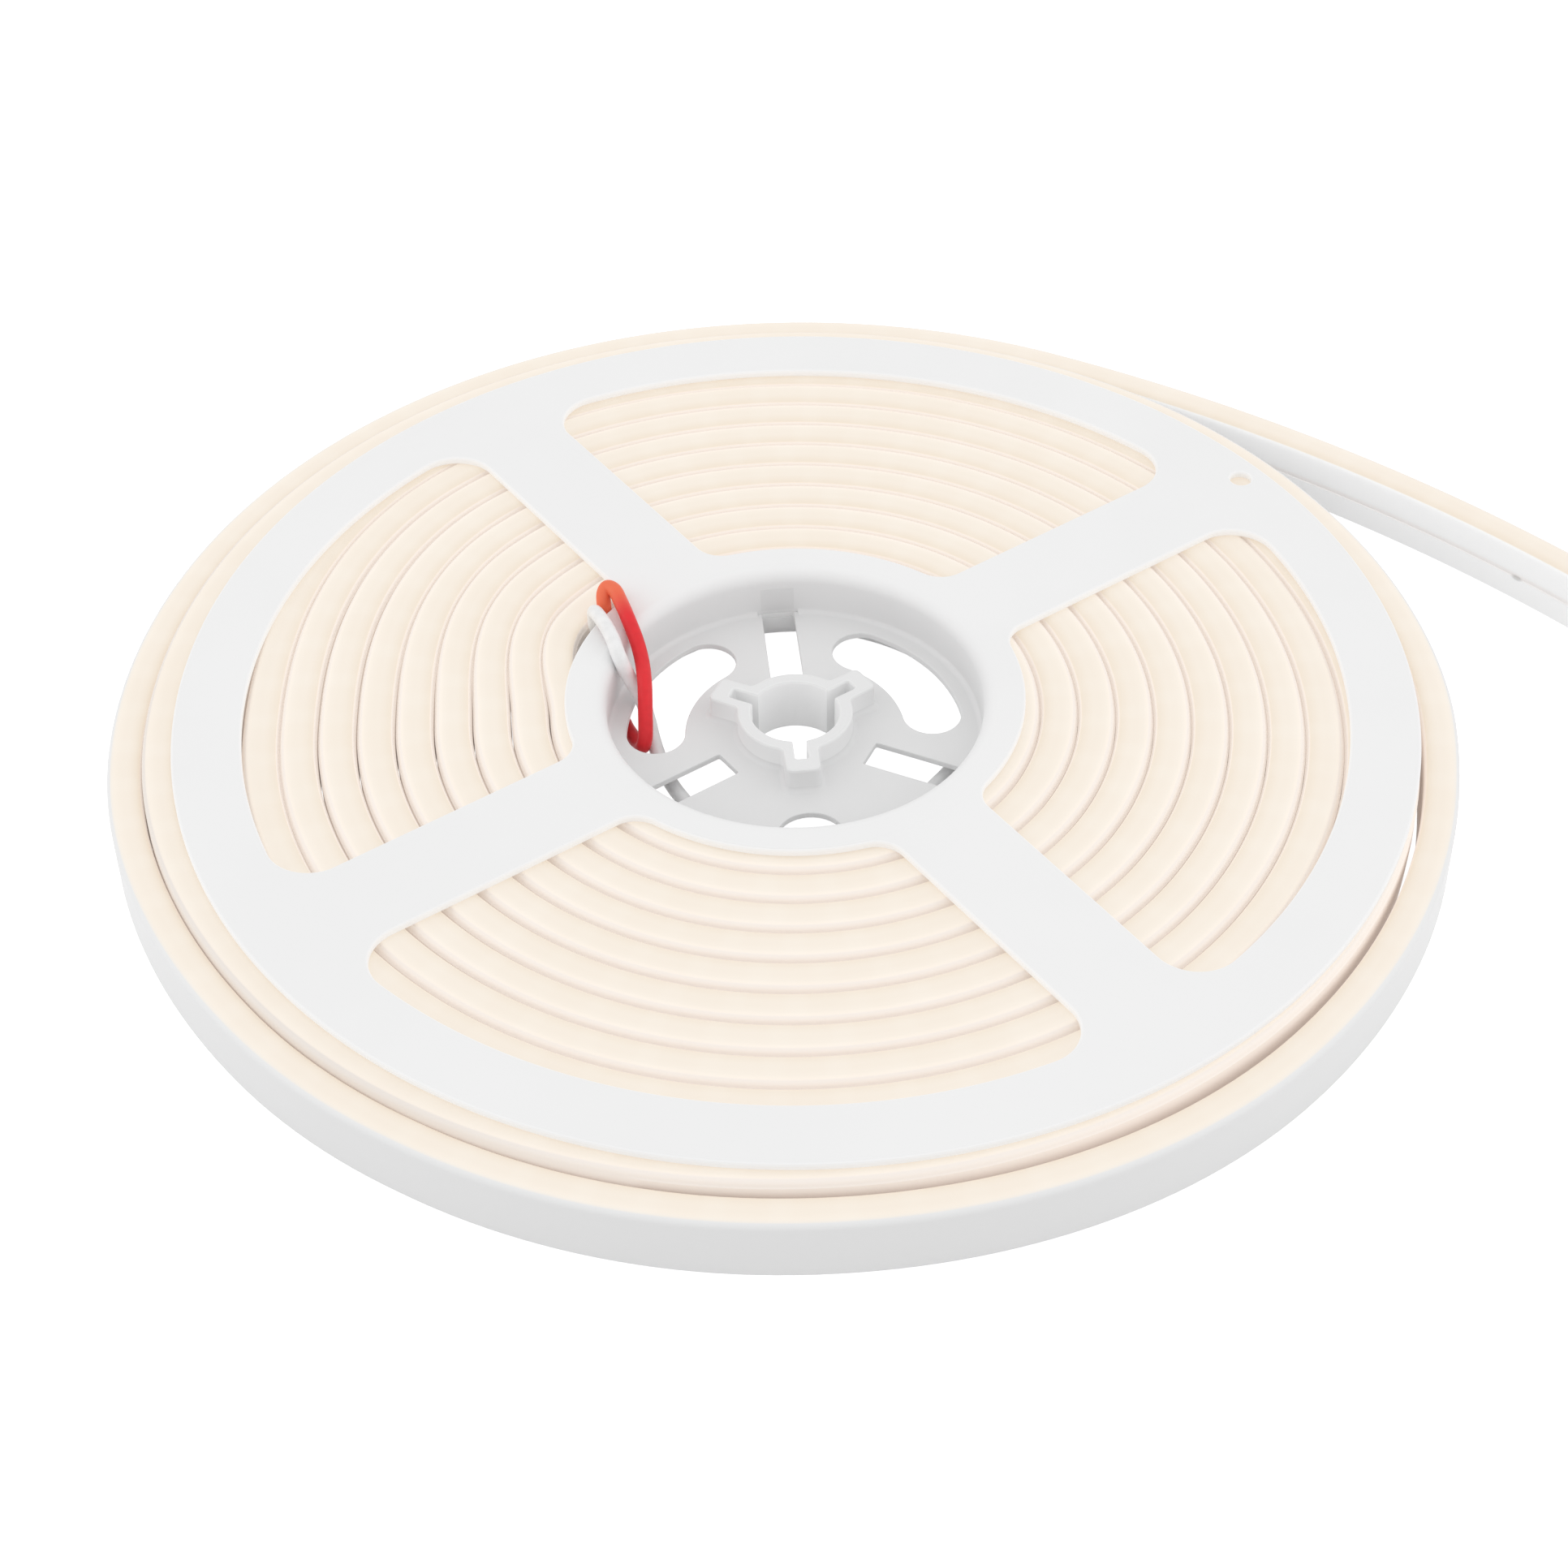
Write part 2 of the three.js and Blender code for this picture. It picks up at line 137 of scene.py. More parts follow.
# How the soft surfaces of the mouldings meet: a revolved rim over each plate
RIM_RADII = (33.15, 32.9, 32.0, 31.2, 30.5)
RIM_DROP, RIM_DROP_FROM, RIM_DROP_SPAN, RIM_DROP_POWER = 0.16, 32.9, 3.2, 1.2
RIM_PROUD = 0.01
LIP_LEAD_IN = 0.13
PLATE_INNER = 32.6
WEB_RADIUS = 28.7
HOOK_OUTER = 29.5
PROUD = 0.03
OVERLAP = 0.3
FILLET_LIFT = 0.004
# Painted shade deep in the well and on the hooks, and painted light on the flange's window edges
DEEP_SLOPE, HOOK_DARKER, EDGE_LIGHT = 1.6, 0.4, 0.9
FILLET_SPANS = ((-18.5, 88.5), (101.5, 208.5), (221.5, 269.0), (281.0, 328.5))

# The camera's place about the reel's top, in flange radii and degrees
CAMERA_DOWN, CAMERA_ROLL = 42.61, 0.824
CAMERA_RIGHT, CAMERA_UP, CAMERA_AWAY = 0.0198, 0.15, 5.161

# The floor and the side panels, in metres
FLOOR_HALF, FLOOR_DROP, FLOOR_GREY = 3.0, 0.0002, 0.7
PANEL_SIZE, PANEL_SIDE, PANEL_FRONT, PANEL_HEIGHT = 0.9, 0.9, 0.1, 0.35

# The lit flex's marks: the nick's half size along it and up it, the lit top's
# lower edge as parts of the height, and how much lower it lies on the outer side
NICK_LENGTH, NICK_HEIGHT = 1.3, 0.07
TOP_FROM, TOP_TO, TOP_LOWER = 0.958, 0.978, 0.026
SKIN_DEPTH = 0.00002
# How far along each lead, in mm, the painted light from the flex reaches
RED_FLEX_LIGHT_TO, WHITE_FLEX_LIGHT_TO = 19.0, 16.0
SPOT_COLOUR = (1.0, 0.96, 0.88)
STRIPE_COLOUR = (0.70, 0.64, 0.60)
NICK_COLOUR = (0.3, 0.29, 0.28)
UNLIT_COLOUR = (0.42, 0.40, 0.37)

# The leads' routes about the reel's axis, as the part's source has them
RED_ROUTE = [
    (-23.9, 22.6, 8.8), (-25.9, 21.1, 8.9), (-27.3, 20.3, 9.8), (-28.2, 20.1, 11.4),
    (-28.4, 20.4, 13.0), (-28.4, 21.3, 14.4), (-27.8, 21.9, 15.1), (-26.7, 21.0, 15.2),
    (-25.8, 18.9, 14.8), (-24.7, 15.6, 14.5), (-23.3, 12.1, 12.8), (-22.5, 9.3, 11.1),
    (-22.1, 5.9, 10.2), (-22.0, 3.7, 8.9), (-22.0, 2.2, 7.5), (-22.0, 0.9, 5.8),
    (-22.1, -0.1, 4.2), (-22.5, -0.3, 2.9), (-23.2, 1.2, 1.8), (-24.2, 3.8, 1.3),
    (-25.0, 5.6, 1.2), (-25.5, 7.0, 1.2),
]
WHITE_ROUTE = [
    (-23.9, 22.6, 5.6), (-26.1, 20.6, 5.6), (-27.9, 18.9, 6.6), (-29.2, 18.2, 8.6),
    (-29.7, 18.0, 11.0), (-29.75, 17.95, 12.8), (-29.6, 17.2, 14.2), (-28.9, 15.6, 14.7),
    (-27.7, 13.2, 14.6), (-26.7, 10.8, 14.1), (-25.7, 8.1, 12.9), (-24.5, 7.7, 9.6),
    (-23.2, 7.0, 7.2), (-22.3, 5.9, 5.3), (-21.6, 4.1, 3.7), (-21.1, 2.4, 2.2),
    (-20.3, -0.3, 1.3), (-19.2, -4.2, 1.2), (-17.2, -8.8, 1.2), (-13.2, -14.8, 1.2),
    (-7.6, -19.2, 1.2), (-1.0, -21.2, 1.2), (6.0, -20.9, 1.2), (12.4, -18.1, 1.2),
    (17.0, -12.9, 1.2), (19.9, -8.4, 1.2), (21.9, -5.7, 1.2), (24.0, -2.4, 1.2),
    (25.2, 1.2, 1.2),
]


def on_frame(points):
    """Points about the reel's axis in millimetres, as points of the frame in metres."""
    points = np.asarray(points, dtype=float) * MM
    points[:, 0] += AXIS[0]
    points[:, 1] += AXIS[1]
    return points


# Shapes


def ease(t):
    """Smooth step: 3 t squared less 2 t cubed, with t held between 0 and 1."""
    u = np.clip(t, 0.0, 1.0)
    return u * u * (3 - 2 * u)


def past(turn, change):
    """Smooth step from 0 to 1 over a change, given by its start and length."""
    start, length = change
    return ease((turn - start) / length)


def slack(turn):
    """Outward slack at each place on the winding: smooth steps between waypoints."""
    places, values = np.array(OUTER_SLACK, dtype=float).T
    i = np.clip(np.searchsorted(places, turn), 1, len(places) - 1)
    t = (turn - places[i - 1]) / (places[i] - places[i - 1])
    return values[i - 1] + (values[i] - values[i - 1]) * ease(t)


def turns_inside(turn):
    """How many turns lie inside each place.

    A turn climbs over the one inside it by a smooth step at its start. The outer
    loose turns rise evenly with the angle instead, and the two are blended.
    """
    lap = np.floor(turn)
    span = np.where(
        lap == 1, FIRST_CLIMB_SPAN, np.minimum(CLIMB_SPAN, FIRST_CLIMB_SPAN + 3 * (lap - 1))
    )
    stepped = np.where(lap < 1, 0.0, lap - 1 + ease((turn - lap) * 360 / span))
    mix = ease((turn - LOOSE_FROM) / LOOSE_BLEND)
    return stepped * (1 - mix) + (turn - EVEN_OFFSET) * mix


def winding(steps):
    """Centre line of the flex, from its inner end to the end of its tail.

    Outer radius is the hub, plus a flex width and a gap for each turn inside,
    plus the slack, and never less than one flex width over the turn inside.
    The tail goes on along the tangent and bends round an even arc. The base
    drops from the lower flange to the ground where the flex gets clear of it.
    Returns places (n, 2), outward directions (n, 2), base heights, turns.
    """
    first = int(round(FIRST_TURN * steps))
    last = int(round(LAST_TURN * steps))
    turn = np.arange(first, last + 1) / steps
    angle = np.radians(CLIMB_START - turn * 360)
    swing = TURN_GAP_SWING * np.cos(angle - math.radians(TURN_GAP_SWING_AT))
    pitch = FLEX_WIDTH + TURN_GAP - swing
    radius = HUB_SEAT + FLEX_WIDTH + turns_inside(turn) * pitch + slack(turn)
    for start in range(steps, len(radius), steps):
        block = slice(start, min(start + steps, len(radius)))
        inner = radius[start - steps : block.stop - steps]
        radius[block] = np.maximum(radius[block], inner + FLEX_WIDTH + LEAST_GAP)
    across = np.stack([np.cos(angle), np.sin(angle)], axis=1)
    place = across * (radius - FLEX_WIDTH / 2)[:, None]

    count = steps // 3
    heading = math.atan2(-across[-1, 0], across[-1, 1])
    step = TAIL_LENGTH / count
    middle = heading - (np.arange(count) + 0.5) * step / TAIL_BEND
    turned = heading - (np.arange(count) + 1) * step / TAIL_BEND
    moves = np.stack([np.cos(middle), np.sin(middle)], axis=1) * step
    tail = place[-1] + np.cumsum(moves, axis=0)
    tail_across = np.stack([-np.sin(turned), np.cos(turned)], axis=1)
    place = np.vstack([place, tail])
    clear = np.linalg.norm(place, axis=1) - FLEX_WIDTH / 2 - FLANGE_RADIUS
    base = FLEX_BASE * (1 - ease((clear - SINK_START) / (SINK_END - SINK_START)))
    turn = np.concatenate([turn, turn[-1] + np.arange(1, count + 1) / steps])
    return place, np.vstack([across, tail_across]), base, turn


def cut_run(line, start, end):
    """The part of a centre line between two distances along it, ends worked out."""
    place, across, base, turn = line
    lengths = np.linalg.norm(np.diff(place, axis=0), axis=1)
    run = np.concatenate([[0.0], np.cumsum(lengths)])
    inside = run[(run > start) & (run < end)]
    at = np.concatenate([[start], inside, [end]])
    pick = lambda values: np.interp(at, run, values)
    place = np.stack([pick(place[:, 0]), pick(place[:, 1])], axis=1)
    across = np.stack([pick(across[:, 0]), pick(across[:, 1])], axis=1)
    across /= np.linalg.norm(across, axis=1)[:, None]
    return place, across, pick(base), pick(turn), at


def run_length(line):
    """Length of a centre line."""
    return float(np.linalg.norm(np.diff(line[0], axis=0), axis=1).sum())


def flex_section(top_round, groove_height, groove_depth):
    """Outline of the flex, anticlockwise seen along it: (across, up) pairs.

    A box with quarter-round top corners, a slightly domed lit face, small foot
    bevels and a shallow groove along the inner side.
    """
    half = FLEX_WIDTH / 2
    arc = np.radians(np.linspace(0, 90, 6))
    corner_x = half - top_round + top_round * np.cos(arc)
    corner_y = FLEX_HEIGHT - top_round + top_round * np.sin(arc)
    dome = np.linspace(1, -1, 9)[1:-1]
    dome_x = dome * (half - top_round)
    outer = [(half - 0.25, 0.0), (half, 0.25), (half, 4.6), (half, FLEX_HEIGHT - top_round - 0.25)]
    inner = [
        (-half, FLEX_HEIGHT - top_round - 0.25),
        (-half, groove_height + 0.55),
        (-half + groove_depth * 0.35, groove_height + 0.2),
        (-half + groove_depth, groove_height),
        (-half, groove_height - 0.12),
        (-half, 0.25),
        (-half + 0.25, 0.0),
    ]
    return np.array(
        outer
        + list(zip(corner_x, corner_y))
        + list(zip(dome_x, np.full(len(dome_x), FLEX_HEIGHT)))
        + list(zip(-corner_x[::-1], corner_y[::-1]))
        + inner
    )


def loft(place, across, base, section, swell):
    """Section carried along a line: place plus across times the section's first
    number, at the base height plus its second. Closed with a face at each end.
    The swell, a distance for each ring and point, moves the sides further out.
    Returns vertices (metres) and faces.
    """
    rings, ring = len(place), len(section)
    grid = np.empty((rings, ring, 3))
    side = section[None, :, 0] + swell * np.sign(section[None, :, 0])
    grid[:, :, :2] = place[:, None, :] + across[:, None, :] * side[:, :, None]
    grid[:, :, 2] = base[:, None] + section[None, :, 1]
    faces = tube_faces(rings, ring)
    caps = [list(range(ring - 1, -1, -1)), list(range((rings - 1) * ring, rings * ring))]
    return on_frame(grid.reshape(-1, 3)), faces.tolist() + caps


def tube_faces(rings, ring):
    """Quads between neighbouring rings of a tube, each ring closed on itself."""
    i, j = np.meshgrid(np.arange(rings - 1), np.arange(ring), indexing="ij")
    k = (j + 1) % ring
    a, b = i * ring + j, i * ring + k
    return np.stack([a, b, b + ring, a + ring], axis=-1).reshape(-1, 4)


def lead_line(route, per_span):
    """Even cubic through the route's points: the uniform Catmull-Rom spline."""
    points = np.asarray(route, dtype=float)
    ends = 2 * points[[0, -1]] - points[[1, -2]]
    p = np.vstack([ends[:1], points, ends[1:]])
    t = np.linspace(0, 1, per_span, endpoint=False)[:, None, None]
    a, b, c, d = p[:-3], p[1:-2], p[2:-1], p[3:]
    curve = 0.5 * (
        2 * b + (c - a) * t + (2 * a - 5 * b + 4 * c - d) * t**2 + (3 * b - a - 3 * c + d) * t**3
    )
    return np.vstack([curve.transpose(1, 0, 2).reshape(-1, 3), points[-1:]])


def round_tube(line, radius, sides):
    """Round section carried along a line in space, with bevelled flat ends.

    Each ring stands square to the line's tangent. Its first direction is the
    one before, less its part along the tangent, so the tube doesn't twist.
    """
    tangent = np.gradient(line, axis=0)
    tangent /= np.linalg.norm(tangent, axis=1)[:, None]
    side = np.empty_like(line)
    side[0] = np.cross(tangent[0], (0, 0, 1))
    for i in range(1, len(line)):
        side[i] = side[i - 1] - tangent[i] * np.dot(side[i - 1], tangent[i])
        side[i] /= np.linalg.norm(side[i])
    side[0] /= np.linalg.norm(side[0])
    up = np.cross(tangent, side)
    angle = np.linspace(0, 2 * math.pi, sides, endpoint=False)
    rim = np.cos(angle)[None, :, None] * side[:, None] + np.sin(angle)[None, :, None] * up[:, None]
    size = np.full(len(line), radius)
    size[[0, -1]] *= 0.88
    grid = line[:, None, :] + rim * size[:, None, None]
    faces = tube_faces(len(line), sides)
    caps = [list(range(sides - 1, -1, -1)), list(range((len(line) - 1) * sides, len(line) * sides))]
    return on_frame(grid.reshape(-1, 3)), faces.tolist() + caps


# The reel's outlines, all about its axis in millimetres


def arc(centre, radius, start, stop, count):
    """Points on a circle between two angles in degrees, both ends included."""
    angle = np.radians(np.linspace(start, stop, count))
    return np.asarray(centre) + radius * np.stack([np.cos(angle), np.sin(angle)], axis=1)


def circle(radius, count=256):
    """Points all round a circle about the axis."""
    return arc((0, 0), radius, 0, 360 - 360 / count, count)


def turned(points, degrees):
    """Points turned about the axis."""
    s, c = math.sin(math.radians(degrees)), math.cos(math.radians(degrees))
    return points @ np.array([[c, s], [-s, c]])


def window_outline():
    """Flange window after the first spoke: two arcs about the axis, and a round
    corner of its own radius at each end of them. A corner's centre stands one
    radius in from the arc and one radius off the spoke's straight edge.
    """
    far, near = WINDOW_OUTER - WINDOW_OUTER_CORNER, WINDOW_INNER + WINDOW_INNER_CORNER
    a = math.degrees(math.asin((SPOKE_WIDTH / 2 + WINDOW_OUTER_CORNER) / far))
    b = math.degrees(math.asin((SPOKE_WIDTH / 2 + WINDOW_INNER_CORNER) / near))
    at = lambda reach, angle: (
        reach * math.cos(math.radians(angle)), reach * math.sin(math.radians(angle))
    )
    return np.vstack([
        arc((0, 0), WINDOW_OUTER, a, 90 - a, 60)[:-1],
        arc(at(far, 90 - a), WINDOW_OUTER_CORNER, 90 - a, 180, 14)[:-1],
        arc(at(near, 90 - b), WINDOW_INNER_CORNER, 180, 270 - b, 12)[:-1],
        arc((0, 0), WINDOW_INNER, 90 - b, b, 32)[:-1],
        arc(at(near, b), WINDOW_INNER_CORNER, b + 180, 270, 12)[:-1],
        arc(at(far, a), WINDOW_OUTER_CORNER, -90, a, 14)[:-1],
    ])


def kidney_outline():
    """Slot along a circle about the axis, with round ends."""
    end = arc((0, 0), KIDNEY_RADIUS, -KIDNEY_SPAN, KIDNEY_SPAN, 2)
    return np.vstack([
        arc((0, 0), KIDNEY_RADIUS + KIDNEY_HALF, -KIDNEY_SPAN, KIDNEY_SPAN, 28)[:-1],
        arc(end[1], KIDNEY_HALF, KIDNEY_SPAN, KIDNEY_SPAN + 180, 20)[:-1],
        arc((0, 0), KIDNEY_RADIUS - KIDNEY_HALF, KIDNEY_SPAN, -KIDNEY_SPAN, 22)[:-1],
        arc(end[0], KIDNEY_HALF, 180 - KIDNEY_SPAN, 360 - KIDNEY_SPAN, 20)[:-1],
    ])


def bar_outline(start, stop, half, corner):
    """Radial bar along +X with round corners."""
    return np.vstack([
        arc((stop - corner, -half + corner), corner, -90, 0, 5),
        arc((stop - corner, half - corner), corner, 0, 90, 5),
        arc((start + corner, half - corner), corner, 90, 180, 5),
        arc((start + corner, -half + corner), corner, 180, 270, 5),
    ])


def bore_outline(grow):
    """Round bore with three keyways, all moved outward by the same distance."""
    radius, half, reach = ARBOR_RADIUS + grow, KEYWAY_HALF + grow, KEYWAY_REACH + grow
    edge = math.degrees(math.asin(half / radius))
    key = np.vstack([
        arc((0, 0), radius, edge - 120, -edge, 26),
        arc((reach - 0.4, -half + 0.4), 0.4, -90, 0, 5),
        arc((reach - 0.4, half - 0.4), 0.4, 0, 90, 5),
    ])
    return np.vstack([turned(key, MOULD_TURN + 120 * i) for i in range(3)])


def boss_outline(grow):
    """Round boss with three lobes, all moved outward by the same distance.

    Each lobe has round outer corners and runs into the circle by a hollow
    fillet. The fillet's centre stands one fillet radius off both the circle and
    the lobe's side, so it stays where it is as the outline grows.
    """
    corner, hollow = 1.0 + grow, 1.0 - grow
    radius, half, reach = ARBOR_OUTER + grow, LOBE_HALF + grow, LOBE_REACH + grow
    across = LOBE_HALF + 1.0
    along = math.sqrt((ARBOR_OUTER + 1.0) ** 2 - across**2)
    meet = math.degrees(math.atan2(across, along))
    lobe = np.vstack([
        arc((0, 0), radius, meet - 120, -meet, 24)[:-1],
        arc((along, -across), hollow, 180 - meet, 90, 8),
        arc((reach - corner, -half + corner), corner, -90, 0, 8),
        arc((reach - corner, half - corner), corner, 0, 90, 8),
        arc((along, across), hollow, 270, 180 + meet, 8)[:-1],
    ])
    return np.vstack([turned(lobe, MOULD_TURN + 120 * i) for i in range(3)])


def stacked(rings, heights):
    """Closed band of walls through rings of equal point counts, the last ring
    joined to the first.
    """
    count, ring = len(rings), len(rings[0])
    points = np.concatenate(
        [np.column_stack([outline, np.full(ring, height)]) for outline, height in zip(rings, heights)]
    )
    faces = tube_faces(count, ring).tolist()
    last = np.arange(ring) + (count - 1) * ring
    first = np.arange(ring)
    after = np.roll(first, -1)
    return points, faces + np.stack([last, np.roll(last, -1), after, first], axis=1).tolist()


def revolved(profile, count=256):
    """Closed profile of radius and height, turned all the way about the axis."""
    rings = [circle(radius, count) for radius, _ in profile]
    return stacked(rings, [height for _, height in profile])


def swept(profile, start, stop, count):
    """Closed profile of radius and height, turned through part of a circle."""
    profile = np.asarray(profile, dtype=float)
    angle = np.radians(np.linspace(start, stop, count))[:, None]
    radius = profile[None, :, 0]
    height = np.broadcast_to(profile[None, :, 1], (count, len(profile)))
    points = np.stack([radius * np.cos(angle), radius * np.sin(angle), height], axis=-1)
    faces = tube_faces(count, len(profile)).tolist()
    ends = [list(range(len(profile))), list(range((count - 1) * len(profile), count * len(profile)))]
    return points.reshape(-1, 3), faces + ends


def coordinates(mesh):
    """Places of a mesh's vertices, one row for each."""
    points = np.empty(len(mesh.vertices) * 3, dtype=np.float32)
    mesh.vertices.foreach_get("co", points)
    return points.reshape(-1, 3)


def plate(outlines, low, high, bevel):
    """Outline with holes in it, filled and raised from one height to another, its
    edges bevelled inward.
    """
    curve = bpy.data.curves.new("outline", "CURVE")
    curve.dimensions = "2D"
    curve.fill_mode = "BOTH"
    curve.extrude = (high - low) / 2 - bevel
    curve.bevel_depth = bevel
    curve.bevel_resolution = 1
    curve.offset = -bevel
    for outline in outlines:
        spline = curve.splines.new("POLY")
        spline.points.add(len(outline) - 1)
        flat = np.column_stack([outline, np.zeros(len(outline)), np.ones(len(outline))])
        spline.points.foreach_set("co", flat.ravel())
        spline.use_cyclic_u = True
    shape = bpy.data.objects.new("outline", curve)
    mesh = bpy.data.meshes.new_from_object(shape)
    bpy.data.objects.remove(shape)
    bpy.data.curves.remove(curve)
    cleaned = bmesh.new()
    cleaned.from_mesh(mesh)
    bmesh.ops.remove_doubles(cleaned, verts=cleaned.verts, dist=1e-4)
    cleaned.to_mesh(mesh)
    cleaned.free()
    points = coordinates(mesh).astype(float)
    faces = [list(face.vertices) for face in mesh.polygons]
    bpy.data.meshes.remove(mesh)
    points[:, 2] += (low + high) / 2
    return points, faces


# Objects


def placed(name, data):
    """New object in the scene."""
    obj = bpy.data.objects.new(name, data)
    bpy.context.scene.collection.objects.link(obj)
    return obj


def show(name, mesh):
    """New object in the scene that rides on the reel's body."""
    obj = placed(name, mesh)
    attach(obj, "root")
    return obj


def made_mesh(name, points, faces, sharp=35.0):
    """Object from points and faces, smooth up to a crease angle in degrees."""
    mesh = bpy.data.meshes.new(name)
    mesh.from_pydata(points.tolist(), [], faces)
    mesh.update()
    shade(mesh, sharp)
    return show(name, mesh)


def shade(mesh, sharp):
    """Smooth faces, with edges over the crease angle kept sharp."""
    mesh.polygons.foreach_set("use_smooth", np.ones(len(mesh.polygons), dtype=bool))
    mesh.set_sharp_from_angle(angle=math.radians(sharp))


def point_values(mesh, name, values):
    """Keeps one number for each vertex under a name that materials read."""
    layer = mesh.attributes.new(name, "FLOAT", "POINT")
    layer.data.foreach_set("value", np.asarray(values, dtype=np.float32))


def joined(name, parts, sharp):
    """Object from several closed shells, each points in millimetres and faces."""
    points, faces, offset = [], [], 0
    for part_points, part_faces in parts:
        points.append(part_points)
        faces += [[int(corner) + offset for corner in face] for face in part_faces]
        offset += len(part_points)
    mesh = bpy.data.meshes.new(name)
    mesh.from_pydata(on_frame(np.vstack(points)).tolist(), [], faces)
    cleaned = bmesh.new()
    cleaned.from_mesh(mesh)
    bmesh.ops.recalc_face_normals(cleaned, faces=cleaned.faces)
    cleaned.to_mesh(mesh)
    cleaned.free()
    shade(mesh, sharp)
    return show(name, mesh)


# Materials


def material(name):
    """New node material: returns it, its node tree and its surface shader."""
    mat = bpy.data.materials.new(name)
    mat.use_nodes = True
    tree = mat.node_tree
    return mat, tree, tree.nodes["Principled BSDF"]


def node(tree, kind, **settings):
    """Adds a node and sets its properties."""
    made = tree.nodes.new(kind)
    for key, value in settings.items():
        setattr(made, key, value)
    return made


def feed(tree, made, **values):
    """Sets a node's inputs, each to another socket, a number or a colour. Names
    have underscores for spaces, and in_0 is the input numbered 0.
    """
    for key, value in values.items():
        numbered = key.startswith("in_")
        socket = made.inputs[int(key[3:]) if numbered else key.replace("_", " ")]
        if isinstance(value, bpy.types.NodeSocket):
            tree.links.new(value, socket)
        elif isinstance(value, (int, float)):
            socket.default_value = value
        else:
            socket.default_value = (*value[:3], 1)


def maths(tree, operation, first, second):
    """Adds a maths node on two inputs, each a socket or a number."""
    made = node(tree, "ShaderNodeMath", operation=operation)
    feed(tree, made, in_0=first, in_1=second)
    return made.outputs[0]


def times(tree, first, second):
    """Adds a product of two inputs."""
    return maths(tree, "MULTIPLY", first, second)


def plus(tree, first, second):
    """Adds a sum of two inputs."""
    return maths(tree, "ADD", first, second)


def less(tree, first, second):
    """Adds a difference of two inputs."""
    return maths(tree, "SUBTRACT", first, second)


def mixed(tree, factor, first, second):
    """Adds a colour mix of two inputs, each a socket or a colour."""
    made = node(tree, "ShaderNodeMix", data_type="RGBA")
    feed(tree, made, in_0=factor, in_6=first, in_7=second)
    return made.outputs[2]


def stepped(tree, value, low, high):
    """Adds a smooth step of a value from 0 at low to 1 at high."""
    made = node(tree, "ShaderNodeMapRange", interpolation_type="SMOOTHSTEP")
    feed(tree, made, in_0=value, in_1=low, in_2=high)
    return made.outputs[0]


def attribute(tree, name):
    """Adds a reader of a number kept on the mesh."""
    return node(tree, "ShaderNodeAttribute", attribute_name=name).outputs["Fac"]


def grain(tree, scale, detail=2.0):
    """Adds noise on object coordinates."""
    place = node(tree, "ShaderNodeTexCoord").outputs["Object"]
    noise = node(tree, "ShaderNodeTexNoise")
    feed(tree, noise, Scale=scale, Detail=detail)
    tree.links.new(place, noise.inputs["Vector"])
    return noise.outputs["Fac"]


def skin(tree, surface, scale, strength, roughness, specular):
    """Gives a surface its sheen and a fine bump."""
    surface.inputs["Roughness"].default_value = roughness
    surface.inputs["Specular IOR Level"].default_value = specular
    bump = node(tree, "ShaderNodeBump")
    feed(tree, bump, Strength=strength, Distance=SKIN_DEPTH, Height=grain(tree, scale))
    tree.links.new(bump.outputs[0], surface.inputs["Normal"])


def moulded_plastic(look):
    """White moulded plastic: a soft sheen, faint flow marks and a fine skin, a
    little darker deep in the hub by painted shade, and with a painted glow for
    the light through its thin places and on the flange's window edges.
    """
    mat, tree, surface = material("white moulded plastic")
    base = np.array(look.plastic_colour[:3])
    flow = stepped(tree, grain(tree, 38.0, 3.0), 0.35, 0.65)
    upper = mixed(tree, flow, base * 0.988, base)
    # Painted shade: the colour darkens toward black deep in the hub's well and on the hooks
    shade_by = times(tree, attribute(tree, "depth"), look.well_shade)
    # Painted glow: emission where the plastic is thin and on the flange's window edges
    through = times(tree, attribute(tree, "thin"), look.thin_glow)
    colour = mixed(tree, shade_by, upper, (0.0, 0.0, 0.0))
    feed(tree, surface, Base_Color=colour, Emission_Color=(1, 1, 1), Emission_Strength=through)
    skin(tree, surface, 2600.0, 0.06, look.plastic_roughness, 0.35)
    return mat


def lit_face(tree, look, side, run):
    """Colour of the flex's lit top: a deeper cream at its inner edge, a paler one
    at its outer edge, a faint spot over each LED and slight clouding.
    """
    cream = mixed(tree, stepped(tree, side, -1.0, -0.1), look.cream_inner, look.cream_middle)
    cream = mixed(tree, stepped(tree, side, 0.0, 0.95), cream, look.cream_outer)
    wave = maths(tree, "SINE", times(tree, run, 2 * math.pi / look.led_pitch), 0.0)
    cream = mixed(tree, times(tree, stepped(tree, wave, 0.0, 1.0), 0.10), cream, SPOT_COLOUR)
    cloudy = times(tree, stepped(tree, grain(tree, 70.0), 0.35, 0.7), 0.18)
    return mixed(tree, cloudy, cream, look.cream_inner)


